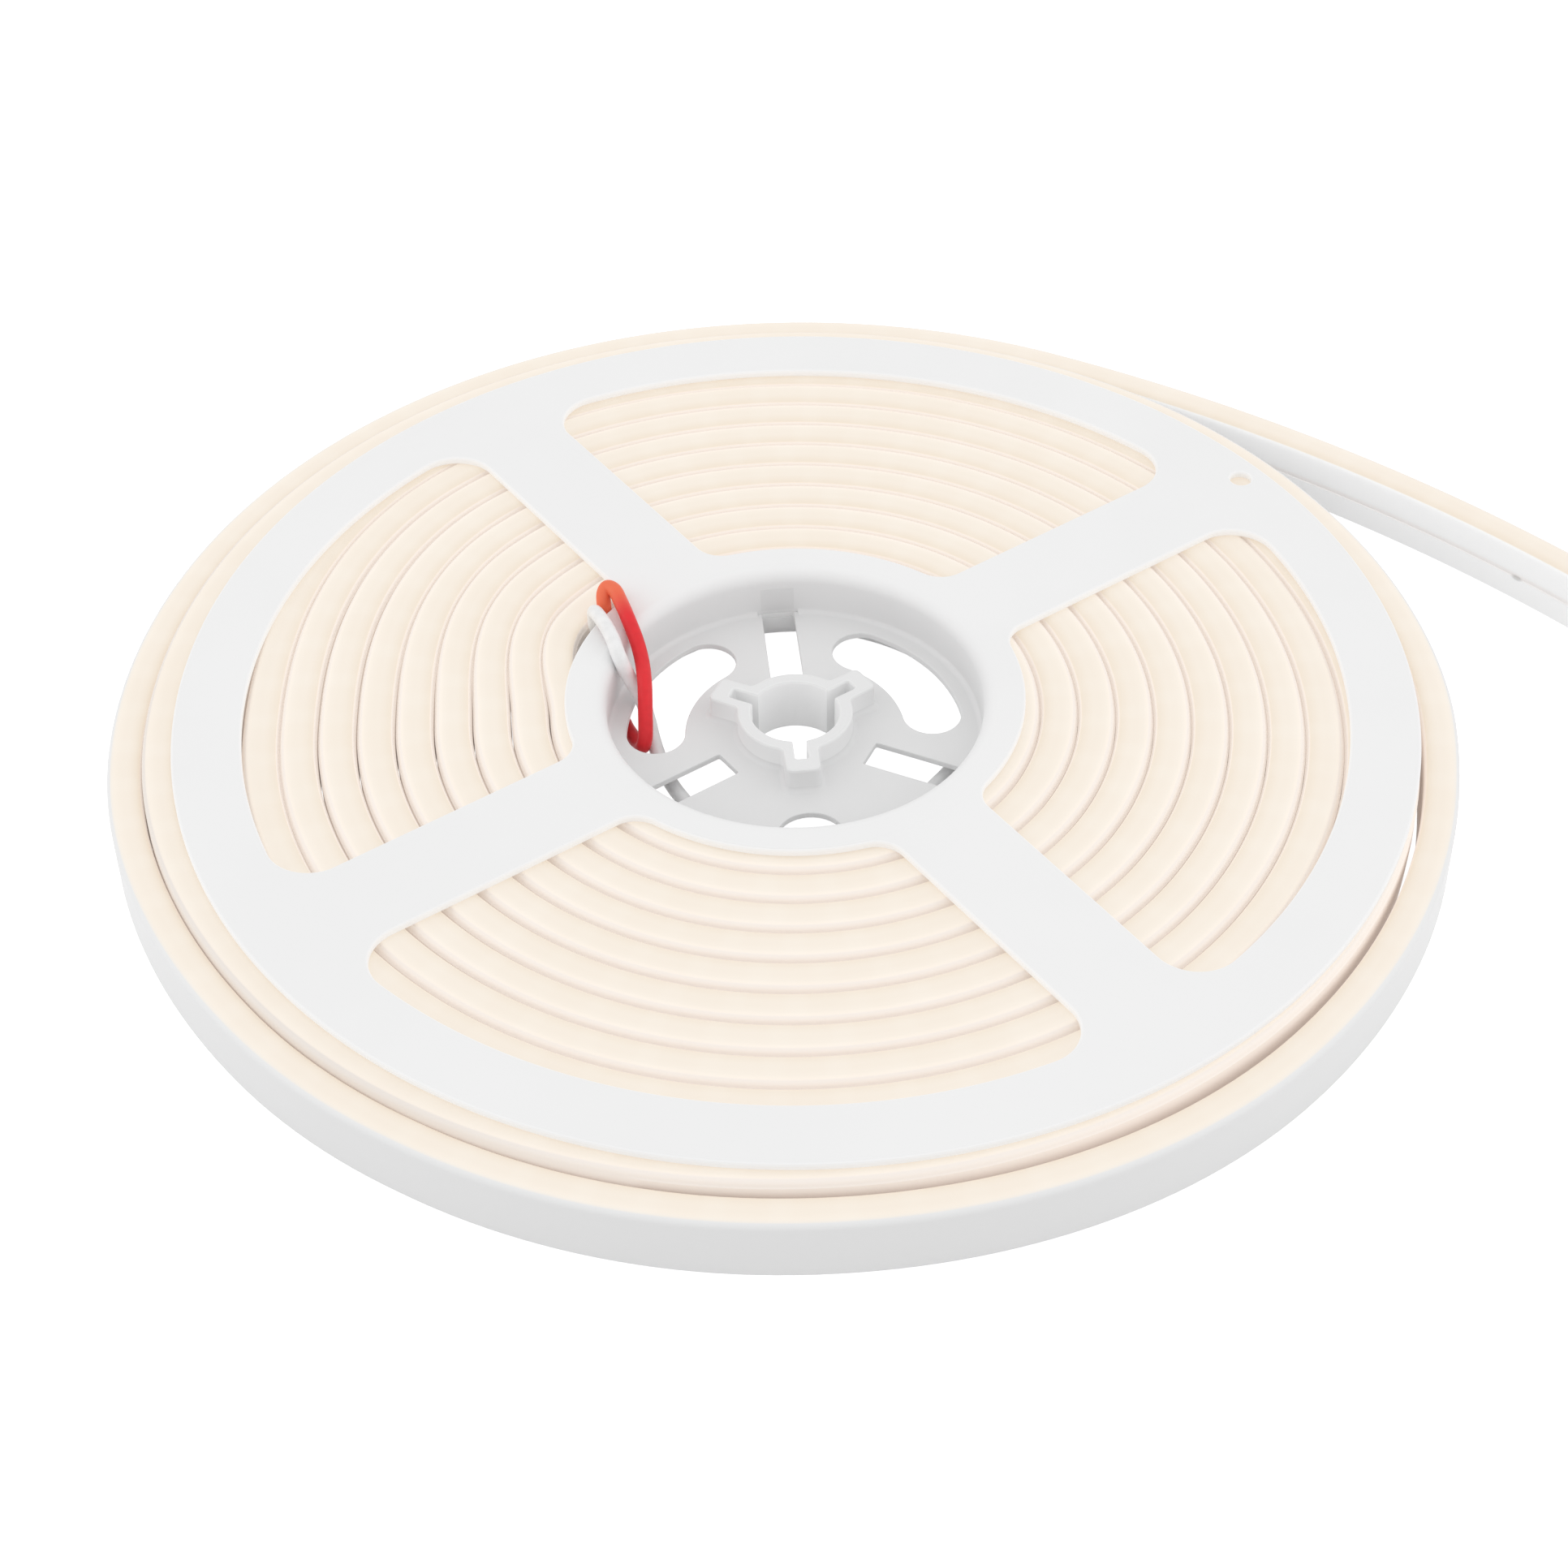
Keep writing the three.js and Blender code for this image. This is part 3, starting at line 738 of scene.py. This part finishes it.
def open_side(tree, look, run, rise, inner_side):
    """Colour of a side that faces no other turn: white, with a faint stripe over
    the inner side's groove and one small nick there. The nick fades out with the
    distance from its middle.
    """
    above, under = stepped(tree, rise, 0.40, 0.44), stepped(tree, rise, 0.46, 0.56)
    stripe = times(tree, above, less(tree, 1.0, under))
    stripe = times(tree, times(tree, stripe, inner_side), 0.4)
    plain = mixed(tree, stripe, look.side_colour, STRIPE_COLOUR)
    place = node(tree, "ShaderNodeCombineXYZ")
    along = maths(tree, "DIVIDE", less(tree, run, look.nick_run), NICK_LENGTH)
    up = maths(tree, "DIVIDE", less(tree, rise, look.nick_rise), NICK_HEIGHT)
    feed(tree, place, X=along, Y=up)
    nick = node(tree, "ShaderNodeVectorMath", operation="LENGTH")
    tree.links.new(place.outputs[0], nick.inputs[0])
    mark = less(tree, 1.0, stepped(tree, nick.outputs["Value"], 0.3, 1.0))
    return mixed(tree, times(tree, times(tree, mark, inner_side), 0.45), plain, NICK_COLOUR)


def side_light(tree, look, rise, nested, inner_side):
    """Strength of the light through the sides, a painted glow: most near the top, a
    little more on inner sides, by the leak kept on the mesh, and on the tail's
    own inner side, which the other turns light.
    """
    shoulder = times(tree, stepped(tree, rise, 0.90, 0.96), look.shoulder_glow)
    brighter = plus(tree, 0.60, times(tree, inner_side, 0.25))
    spread = plus(tree, 0.40, times(tree, stepped(tree, rise, 0.55, 0.90), brighter))
    soft = times(tree, spread, look.side_glow)
    low = times(tree, attribute(tree, "leak"), plus(tree, shoulder, soft))
    tail = times(tree, less(tree, 1.0, nested), inner_side)
    return plus(tree, low, times(tree, tail, look.tail_glow))


def lit_silicone(look):
    """Flex: white opaque silicone with a lit cream top. Below the top its sides are
    white. Where the next turn lies close they take painted light and shade: warm
    and lighter near the top, darker low down in the gap, with a painted glow for
    the light that leaks through.
    """
    mat, tree, surface = material("lit silicone")
    side, rise = attribute(tree, "side"), attribute(tree, "rise")
    run, nested = attribute(tree, "run"), attribute(tree, "nested")
    inner_side = stepped(tree, times(tree, side, -1.0), 0.6, 0.9)
    cream = lit_face(tree, look, side, run)
    plain = open_side(tree, look, run, rise, inner_side)
    higher = stepped(tree, rise, 0.5, 0.96)
    # Painted light and shade on sides that face another turn: darker low in the gap, warm and lighter
    # near the top
    gap_light_and_shade = mixed(tree, higher, look.gap_shade_low, look.gap_light_high)

    outside = times(tree, stepped(tree, side, 0.3, 0.6), TOP_LOWER)
    top = stepped(tree, less(tree, rise, outside), TOP_FROM, TOP_TO)
    colour = mixed(tree, top, mixed(tree, nested, plain, gap_light_and_shade), cream)
    # Painted glow on the sides below the lit top
    leak = mixed(tree, nested, plain, look.leak_colour)
    low = times(tree, side_light(tree, look, rise, nested, inner_side), less(tree, 1.0, top))
    feed(
        tree, surface,
        Base_Color=mixed(tree, top, colour, UNLIT_COLOUR),
        Emission_Color=mixed(tree, top, leak, cream),
        Emission_Strength=plus(tree, times(tree, top, look.top_glow), low),
    )
    skin(tree, surface, 1800.0, 0.05, 0.55, 0.25)
    return mat


def insulation(name, colour, flex_light_to, flex_light_colour, glow):
    """Glossy wire insulation with faint drawn streaks, and painted light near the
    flex: the colour that the flex's light gives it there.
    """
    mat, tree, surface = material(name)
    run = attribute(tree, "run")
    streak = stepped(tree, grain(tree, 900.0), 0.3, 0.7)
    base = mixed(tree, streak, np.array(colour) * 0.94, colour)
    # Painted light from the lit flex, fading out along the lead
    lit = less(tree, 1.0, stepped(tree, run, flex_light_to * 0.6, flex_light_to))
    flex_lit_colour = mixed(tree, times(tree, lit, 0.6), base, flex_light_colour)
    # The glow is painted light: on the white lead it lightens the lead where the hub shades it
    feed(tree, surface, Base_Color=flex_lit_colour, Emission_Color=flex_lit_colour, Emission_Strength=glow)
    skin(tree, surface, 1500.0, 0.05, 0.42, 0.28)
    return mat


# Settings


def number(name, description, default, low, high):
    """A number setting between two limits."""
    return FloatProperty(name=name, description=description, default=default, min=low, max=high)


def tint(name, description, default):
    """A colour setting, in linear values."""
    return FloatVectorProperty(
        name=name, description=description, default=default, size=3, subtype="COLOR", min=0, max=1
    )


class ReelLook(bpy.types.PropertyGroup):
    """Finish of the reel's two mouldings."""

    plastic_colour: tint("Plastic", "Colour of the moulded reel", (0.90, 0.90, 0.90))
    plastic_roughness: number("Roughness", "How matt the plastic is", 0.5, 0, 1)
    crease: number("Crease", "Edges sharper than this stay sharp, in degrees", 20.0, 5, 80)
    edge: number("Edge", "Bevel of the edges, in mm", 0.4, 0.02, 0.6)
    boss_edge: number("Boss edge", "Bevel of the boss's top, in mm", 0.4, 0.02, 0.8)
    web_edge: number("Web edge", "Bevel of the web's edges, in mm", 0.15, 0.02, 0.4)
    foot_fillet: number("Foot fillet", "Hollow fillet at the web, in mm", 0.8, 0.1, 0.95)
    # Painted glow on the thin walls and on the flange's window edges
    thin_glow: number("Thin glow", "Light through the thin walls of the web and boss", 0.05, 0, 1)
    # Painted shade deep in the hub
    well_shade: number("Well shade", "How much darker the plastic is deep in the hub", 0.11, 0, 0.5)


class FlexLook(bpy.types.PropertyGroup):
    """Section and finish of the light flex."""

    steps: IntProperty(name="Steps", description="Rings in each turn", default=240, min=60, max=260)
    top_round: number("Top round", "Radius of the top corners, in mm", 0.95, 0.2, 1.2)
    groove_height: number("Groove height", "Height of the side groove, in mm", 4.2, 1, 8)
    groove_depth: number("Groove depth", "Depth of the side groove, in mm", 0.16, 0, 0.5)
    squeeze: number("Squeeze", "Swell of sides that face another turn, in mm", 0.2, 0, 0.3)
    led_pitch: number("LED pitch", "Distance between LEDs, in mm", 8.3, 2, 50)
    cream_inner: tint("Inner cream", "Lit face at its inner edge", (0.845, 0.705, 0.545))
    cream_middle: tint("Middle cream", "Lit face at its middle", (0.905, 0.80, 0.68))
    cream_outer: tint("Outer cream", "Lit face at its outer edge", (0.97, 0.875, 0.765))
    # Painted shade low in the gaps between turns, and painted light near their top
    gap_shade_low: tint("Warm low", "Sides between turns, low down", (0.66, 0.59, 0.55))
    gap_light_high: tint("Warm high", "Sides between turns, near the top", (0.79, 0.74, 0.695))
    side_colour: tint("Side", "Open sides", (0.86, 0.86, 0.86))
    # Painted glow on the flex's sides, for the light from the lit turns
    leak_colour: tint("Leak", "Light that leaks through the sides", (0.95, 0.845, 0.76))
    shoulder_glow: number("Shoulder glow", "Extra light through the top corners", 0.03, 0, 2)
    tail_glow: number("Tail glow", "Light through the tail's inner side", 0.20, 0, 2)
    nick_run: number("Nick", "Place of the nick along the flex, in mm", 5015.7, 0, 9000)
    nick_rise: number("Nick height", "Height of the nick, as a part of the flex's", 0.43, 0, 1)
    top_glow: number("Top glow", "Light from the lit face", 0.58, 0, 2)
    side_glow: number("Side glow", "Light through the sides", 0.155, 0, 2)


class LeadLook(bpy.types.PropertyGroup):
    """Size and finish of the two leads."""

    radius: number("Radius", "Radius over the insulation, in mm", 1.1, 0.3, 3)
    sides: IntProperty(name="Sides", description="Faces round a lead", default=28, min=8, max=64)
    red: tint("Red", "Red insulation", (0.81, 0.030, 0.038))
    # The lit colours are painted light from the flex on the leads
    red_lit: tint("Lit red", "Red insulation beside the lit flex", (0.95, 0.28, 0.12))
    white: tint("White", "White insulation", (0.86, 0.86, 0.86))
    # Painted glow that lightens the white lead in the hub's shade
    white_glow: number("White glow", "Light through the white insulation", 0.04, 0, 1)
    white_lit: tint("Lit white", "White insulation beside the lit flex", (0.90, 0.87, 0.82))


class StageLook(bpy.types.PropertyGroup):
    """Camera, light and floor."""

    lens: number("Lens", "Focal length, in mm", 73.40, 20, 200)
    sky: number("Sky", "Strength of the even light", 0.90, 0, 2)
    lamp: number("Lamp", "Power of each side panel", 1.2, 0, 100)
    floor_white: number("Floor white", "Floor's own white", 0.88, 0, 1)


# Operators


class NEONREEL_OT_stage(bpy.types.Operator):
    """Sets the camera, the floor, the sky and two side panels"""

    bl_idname = "neonreel.stage"
    bl_label = "Set the stage"

    def execute(self, context):
        look = context.scene.neonreel_stage
        self.camera(context, look)
        self.floor(look)
        self.lamps(context, look)
        return {"FINISHED"}

    def camera(self, context, look):
        """The camera stands in front and above, turned by a small roll."""
        down, roll = math.radians(CAMERA_DOWN), math.radians(CAMERA_ROLL)
        s, c = math.sin(down), math.cos(down)
        back = -CAMERA_UP * s - CAMERA_AWAY * c
        above = -CAMERA_UP * c + CAMERA_AWAY * s
        place = Vector((-CAMERA_RIGHT, back, above)) * FLANGE_RADIUS * MM
        place += Vector((AXIS[0], AXIS[1], REEL_TOP))
        right, up = Vector((1, 0, 0)), Vector((0, s, c))
        image_right = math.cos(roll) * right - math.sin(roll) * up
        image_up = math.sin(roll) * right + math.cos(roll) * up
        turn = Matrix((image_right, image_up, image_right.cross(image_up))).transposed()
        data = bpy.data.cameras.new("camera")
        data.lens = look.lens
        data.sensor_width = 36
        data.clip_start = 0.01
        camera = placed("camera", data)
        camera.matrix_world = Matrix.Translation(place) @ turn.to_4x4()
        context.scene.camera = camera

    def floor(self, look):
        """A white floor that shows white to the camera but keeps soft shade."""
        h = FLOOR_HALF
        mesh = bpy.data.meshes.new("floor")
        mesh.from_pydata([(-h, -h, 0), (h, -h, 0), (h, h, 0), (-h, h, 0)], [], [(0, 1, 2, 3)])
        mat = bpy.data.materials.new("white floor")
        mat.use_nodes = True
        tree = mat.node_tree
        tree.nodes.clear()
        out = node(tree, "ShaderNodeOutputMaterial")
        matt = node(tree, "ShaderNodeBsdfDiffuse")
        feed(tree, matt, Color=[FLOOR_GREY] * 3)
        glow = node(tree, "ShaderNodeEmission")
        seen = node(tree, "ShaderNodeLightPath")
        direct = maths(tree, "MAXIMUM", seen.outputs["Is Camera Ray"], seen.outputs["Is Glossy Ray"])
        direct = maths(tree, "MAXIMUM", direct, seen.outputs["Is Transmission Ray"])
        feed(tree, glow, Strength=times(tree, direct, look.floor_white))
        both = node(tree, "ShaderNodeAddShader")
        feed(tree, both, in_0=matt.outputs[0], in_1=glow.outputs[0])
        feed(tree, out, Surface=both.outputs[0])
        mesh.materials.append(mat)
        floor = placed("floor", mesh)
        floor.location.z = -FLOOR_DROP

    def lamps(self, context, look):
        """An even sky, white to the camera, and a wide soft panel at each side."""
        world = bpy.data.worlds.new("sky")
        world.use_nodes = True
        tree = world.node_tree
        sky = tree.nodes["Background"]
        seen = node(tree, "ShaderNodeLightPath")
        direct = seen.outputs["Is Camera Ray"]
        strength = plus(tree, times(tree, direct, 1.0 - look.sky), look.sky)
        feed(tree, sky, Color=(1, 1, 1), Strength=strength)
        context.scene.world = world
        for name, side in (("left panel", -1), ("right panel", 1)):
            lamp = bpy.data.lights.new(name, "AREA")
            lamp.shape = "DISK"
            lamp.size = PANEL_SIZE
            lamp.energy = look.lamp
            panel = placed(name, lamp)
            panel.location = (AXIS[0] + side * PANEL_SIDE, AXIS[1] - PANEL_FRONT, PANEL_HEIGHT)
            aim = Vector((AXIS[0], AXIS[1], 0)) - Vector(panel.location)
            panel.rotation_euler = aim.to_track_quat("-Z", "Y").to_euler()
        settings = context.scene.view_settings
        settings.view_transform = "Standard"


class NEONREEL_OT_leads(bpy.types.Operator):
    """Makes the red and the white lead"""

    bl_idname = "neonreel.leads"
    bl_label = "Make the leads"

    def execute(self, context):
        look = context.scene.neonreel_leads
        red = insulation("red insulation", look.red, RED_FLEX_LIGHT_TO, look.red_lit, 0.0)
        white = insulation(
            "white insulation", look.white, WHITE_FLEX_LIGHT_TO, look.white_lit, look.white_glow
        )
        self.lead("red_wire", "red_lead", RED_ROUTE, red, "red_insulation", look)
        self.lead("white_wire", "white_lead", WHITE_ROUTE, white, "white_insulation", look)
        return {"FINISHED"}

    def lead(self, name, stands_for, route, mat, slot, look):
        """One lead along its route, with its distance along it kept as "run"."""
        line = lead_line(route, 12)
        points, faces = round_tube(line, look.radius, look.sides)
        obj = made_mesh(name, points, faces)
        steps = np.linalg.norm(np.diff(line, axis=0), axis=1)
        run = np.concatenate([[0.0], np.cumsum(steps)])
        point_values(obj.data, "run", np.repeat(run, look.sides))
        obj.data.materials.append(mat)
        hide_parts(stands_for)
        path = on_frame(line)


class NEONREEL_OT_flex(bpy.types.Operator):
    """Makes the wound flex with its tail, and the cap at each of its ends"""

    bl_idname = "neonreel.flex"
    bl_label = "Make the flex"

    def execute(self, context):
        look = context.scene.neonreel_flex
        line = winding(look.steps)
        total = run_length(line)
        section = flex_section(look.top_round, look.groove_height, look.groove_depth)
        mat = lit_silicone(look)
        ends = CAP_LENGTH + CAP_GAP
        pieces = (
            ("light_flex", "neon_flex", ends, total - ends, "flex_silicone"),
            ("inner_cap", "lead_end_cap", 0.0, CAP_LENGTH, "cap_silicone"),
            ("tail_cap", "tail_end_cap", total - CAP_LENGTH, total, "cap_silicone"),
        )
        for name, stands_for, start, end, slot in pieces:
            obj = self.length(name, line, start, end, section, look)
            obj.data.materials.append(mat)
            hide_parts(stands_for)
        return {"FINISHED"}

    def length(self, name, line, start, end, section, look):
        """A length of the flex's section, with the numbers that its finish reads.

        The leak says how much painted glow the sides get for the light they let out:
        more low down where the gap to the next turn is wide, and less where the
        outer turn lies loose.
        """
        place, across, base, turn, run = cut_run(line, start, end)
        rings, ring = len(place), len(section)
        nested = self.nested(turn, section)
        below = (section[:, 1] > 0.5) & (section[:, 1] < FLEX_HEIGHT - look.top_round - 0.2)
        loose = past(turn, LIES_LOOSE)
        swell = look.squeeze * nested * below * (1 - loose)[:, None]
        points, faces = loft(place, across, base, section, swell)
        obj = made_mesh(name, points, faces)
        point_values(obj.data, "side", np.tile(section[:, 0] / (FLEX_WIDTH / 2), rings))
        point_values(obj.data, "rise", np.tile(section[:, 1] / FLEX_HEIGHT, rings))
        point_values(obj.data, "run", np.repeat(run, ring))
        point_values(obj.data, "nested", nested.ravel())
        wide = past(turn, GAP_WIDENS) * (1 - past(turn, GAP_NARROWS))
        low_down = 1 - section[None, :, 1] / FLEX_HEIGHT
        outward = 1 + WIDE_LEAK * wide[:, None] * low_down - LOOSE_LEAK * loose[:, None]
        leak = np.where(section[None, :, 0] > 0, outward, 1.0)
        point_values(obj.data, "leak", (nested * leak).ravel())
        return obj

    def nested(self, turn, section):
        """1 on a side that faces another turn, falling to 0 on an open one."""
        outward = 1 - past(turn, OUTSIDE_OPENS)
        inward = 1 - past(turn, INSIDE_OPENS)
        return np.where(section[None, :, 0] > 0, outward[:, None], inward[:, None])


class NEONREEL_OT_reel(bpy.types.Operator):
    """Makes the reel's two mouldings with soft edges and their finish"""

    bl_idname = "neonreel.reel"
    bl_label = "Make the reel"

    def execute(self, context):
        look = context.scene.neonreel_reel
        mat = moulded_plastic(look)
        halves = (
            ("upper_moulding", "upper_flange", self.upper(look)),
            ("lower_moulding", "lower_flange", self.lower(look)),
        )
        for name, stands_for, parts in halves:
            obj = joined(name, parts, look.crease)
            self.depths(obj.data)
            obj.data.materials.append(mat)
            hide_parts(stands_for)
        return {"FINISHED"}

    def windows(self):
        """The flange's outer edge and its four windows."""
        window = window_outline()
        return [circle(FLANGE_RADIUS, 360)] + [turned(window, MOULD_TURN + 90 * i) for i in range(4)]

    def mouth(self):
        """Round mouth, as radius and height: over the flange's face, then the lip.

        The face drops by an eased step raised to a power. The lip is a quarter
        round, radius less by the sine and height less by one less the cosine,
        with a further drop, the square of one less the sine, that eases it in.
        """
        t = np.linspace(0, math.pi / 2, 14)
        radius = COLLAR_INNER + MOUTH_FILLET * (1 - np.sin(t))
        height = REEL_HEIGHT - MOUTH_FILLET * (1 - np.cos(t))
        rim = np.array(RIM_RADII)
        drop = RIM_DROP * ease((RIM_DROP_FROM - rim) / RIM_DROP_SPAN) ** RIM_DROP_POWER
        face = list(zip(rim, REEL_HEIGHT + RIM_PROUD - drop))
        lip = list(zip(radius, height - LIP_LEAD_IN * (1 - np.sin(t)) ** 2))
        return face + lip

    def upper(self, look):
        """Flange with its windows and start hole, and the mouth with its collar."""
        under = REEL_HEIGHT - FLANGE_THICKNESS
        profile = self.mouth() + [
            (COLLAR_INNER, WEB_TOP + PROUD), (COLLAR_OUTER, WEB_TOP + PROUD),
            (COLLAR_OUTER, under), (RIM_RADII[0], under),
        ]
        hole = turned(arc((START_HOLE_PLACE, 0), START_HOLE, 0, 345, 24), MOULD_TURN)
        outlines = self.windows() + [hole, circle(PLATE_INNER)]
        return [plate(outlines, under, REEL_HEIGHT, look.edge), revolved(profile)]

    def lower(self, look):
        """Flange, sleeve, web, boss and snap hooks, and the fillets between them."""
        top = REEL_HEIGHT - FLANGE_THICKNESS - OVERLAP
        sleeve = [(radius, REEL_HEIGHT - height) for radius, height in self.mouth()] + [
            (COLLAR_INNER, WEB_FOOT), (SLEEVE_INNER, WEB_FOOT), (SLEEVE_INNER, top), (HUB_RADIUS, top),
            (HUB_RADIUS, FLANGE_THICKNESS), (RIM_RADII[0], FLANGE_THICKNESS),
        ]
        kidney, slot = kidney_outline(), bar_outline(SLOT_START, COLLAR_INNER, SLOT_HALF, 0.25)
        hole = arc((ROUND_HOLE_PLACE, 0), ROUND_HOLE, 0, 350, 36)
        web = [circle(WEB_RADIUS), bore_outline(0.2), turned(hole, MOULD_TURN + 240)]
        web += [turned(kidney, MOULD_TURN + 120 * i) for i in range(2)]
        web += [turned(slot, MOULD_TURN + 60 + 120 * i) for i in range(3)]
        return [
            plate(self.windows() + [circle(PLATE_INNER)], 0, FLANGE_THICKNESS, look.edge),
            revolved(sleeve),
            plate(web, WEB_FOOT, WEB_TOP, look.web_edge),
            plate([boss_outline(0), bore_outline(0)], ARBOR_FOOT, ARBOR_TOP, look.boss_edge),
            self.foot(look.foot_fillet),
        ] + self.hooks() + self.wall_fillets(look.foot_fillet)

    def foot(self, size):
        """Hollow fillet round the boss's foot, a quarter circle in section."""
        t = np.linspace(0, math.pi / 2, 8)
        grow = list(size * (1 - np.sin(t))) + [-0.4, -0.4, size]
        height = list(WEB_TOP + FILLET_LIFT + size * (1 - np.cos(t)))
        height += [WEB_TOP + size, WEB_TOP - OVERLAP, WEB_TOP - OVERLAP]
        return stacked([boss_outline(g) for g in grow], height)

    def wall_fillets(self, size):
        """Hollow fillets at the wall's foot, between the slots and the round hole."""
        t = np.linspace(0, math.pi / 2, 7)
        radius = COLLAR_INNER + 0.02 - size * (1 - np.sin(t))
        height = WEB_TOP + FILLET_LIFT + size * (1 - np.cos(t))
        profile = list(zip(radius, height))
        profile += [(COLLAR_INNER + 0.4, WEB_TOP + size), (COLLAR_INNER + 0.4, WEB_TOP - OVERLAP)]
        profile += [(COLLAR_INNER - size, WEB_TOP - OVERLAP)]
        return [swept(profile, start, stop, int(stop - start)) for start, stop in FILLET_SPANS]

    def hooks(self):
        """Snap hooks that close the collar's windows, a hair proud of its wall."""
        half = math.degrees(HOOK_HALF / COLLAR_INNER)
        near, far = COLLAR_INNER - PROUD, HOOK_OUTER
        profile = [(near, HOOK_FOOT), (far, HOOK_FOOT), (far, HOOK_TOP), (near, HOOK_TOP)]
        middles = [MOULD_TURN + 60 + 120 * i for i in range(3)]
        return [swept(profile, middle - half, middle + half, 12) for middle in middles]

    def depths(self, mesh):
        """Keeps how deep each vertex lies in the hub's well, 0 on the flange, and
        more on the hooks, for painted shade that darkens the well and makes the
        hooks show a little darker than the wall. Keeps too where the plastic is thin
        and light comes through it, and the flange's window edges, for a painted glow.
        """
        points = coordinates(mesh) / MM
        reach = np.hypot(points[:, 0] - AXIS[0] / MM, points[:, 1] - AXIS[1] / MM)
        height, under = points[:, 2], REEL_HEIGHT - FLANGE_THICKNESS
        deep = np.clip(DEEP_SLOPE * (REEL_HEIGHT - height) / (REEL_HEIGHT - WEB_TOP), 0, 1)
        in_bore = (reach < ARBOR_RADIUS + 0.1) | (height < WEB_FOOT - 0.1)
        hook = (abs(reach - COLLAR_INNER + 0.05) < 0.035) & (height > HOOK_FOOT - 0.1)
        in_well = (reach < HUB_RADIUS - 0.1) & ~in_bore
        # Painted shade: the deeper in the well, the darker, and the hooks darker still
        point_values(mesh, "depth", np.where(in_well, deep + HOOK_DARKER * hook, 0.0))
        # Painted glow where the web and the boss are thin
        thin = (reach < WEB_RADIUS + 0.1) & (height < WEB_TOP - 0.1) & (height > WEB_FOOT - 0.1)
        off_web = (height < WEB_FOOT - 0.1) | (height > WEB_TOP + 1)
        thin |= (reach < KEYWAY_REACH + 0.2) & (height < ARBOR_TOP - 0.1) & off_web
        # Painted light on the flange's window edges, kept with the glow of the thin places
        window_edge = (reach > 32.0) & (height > under - 0.1) & (height < REEL_HEIGHT - 0.1)
        point_values(mesh, "thin", thin + EDGE_LIGHT * window_edge)


class NEONREEL_PT_panel(bpy.types.Panel):
    """Lists the reel's settings and the steps that make it"""

    bl_idname = "NEONREEL_PT_panel"
    bl_label = "Neon flex reel"
    bl_space_type = "VIEW_3D"
    bl_region_type = "UI"
    bl_category = "Neon reel"

    def draw(self, context):
        for operator, group in STEPS:
            box = self.layout.box()
            box.operator(operator.bl_idname)
            settings = getattr(context.scene, group)
            for key in settings.__annotations__:
                box.prop(settings, key)


STEPS = (
    (NEONREEL_OT_stage, "neonreel_stage"),
    (NEONREEL_OT_leads, "neonreel_leads"),
    (NEONREEL_OT_flex, "neonreel_flex"),
    (NEONREEL_OT_reel, "neonreel_reel"),
)
GROUPS = (
    (StageLook, "neonreel_stage"),
    (LeadLook, "neonreel_leads"),
    (FlexLook, "neonreel_flex"),
    (ReelLook, "neonreel_reel"),
)


def register():
    """Registers the settings, the operators and the panel."""
    for group, name in GROUPS:
        bpy.utils.register_class(group)
        setattr(bpy.types.Scene, name, PointerProperty(type=group))
    for operator, _ in STEPS:
        bpy.utils.register_class(operator)
    bpy.utils.register_class(NEONREEL_PT_panel)


def unregister():
    """Takes them out again."""
    bpy.utils.unregister_class(NEONREEL_PT_panel)
    for operator, _ in reversed(STEPS):
        bpy.utils.unregister_class(operator)
    for group, name in reversed(GROUPS):
        delattr(bpy.types.Scene, name)
        bpy.utils.unregister_class(group)


def main():
    """Makes everything in order."""
    register()
    bpy.ops.neonreel.stage()
    bpy.ops.neonreel.leads()
    bpy.ops.neonreel.flex()
    bpy.ops.neonreel.reel()


if __name__ == "__main__":
    main()
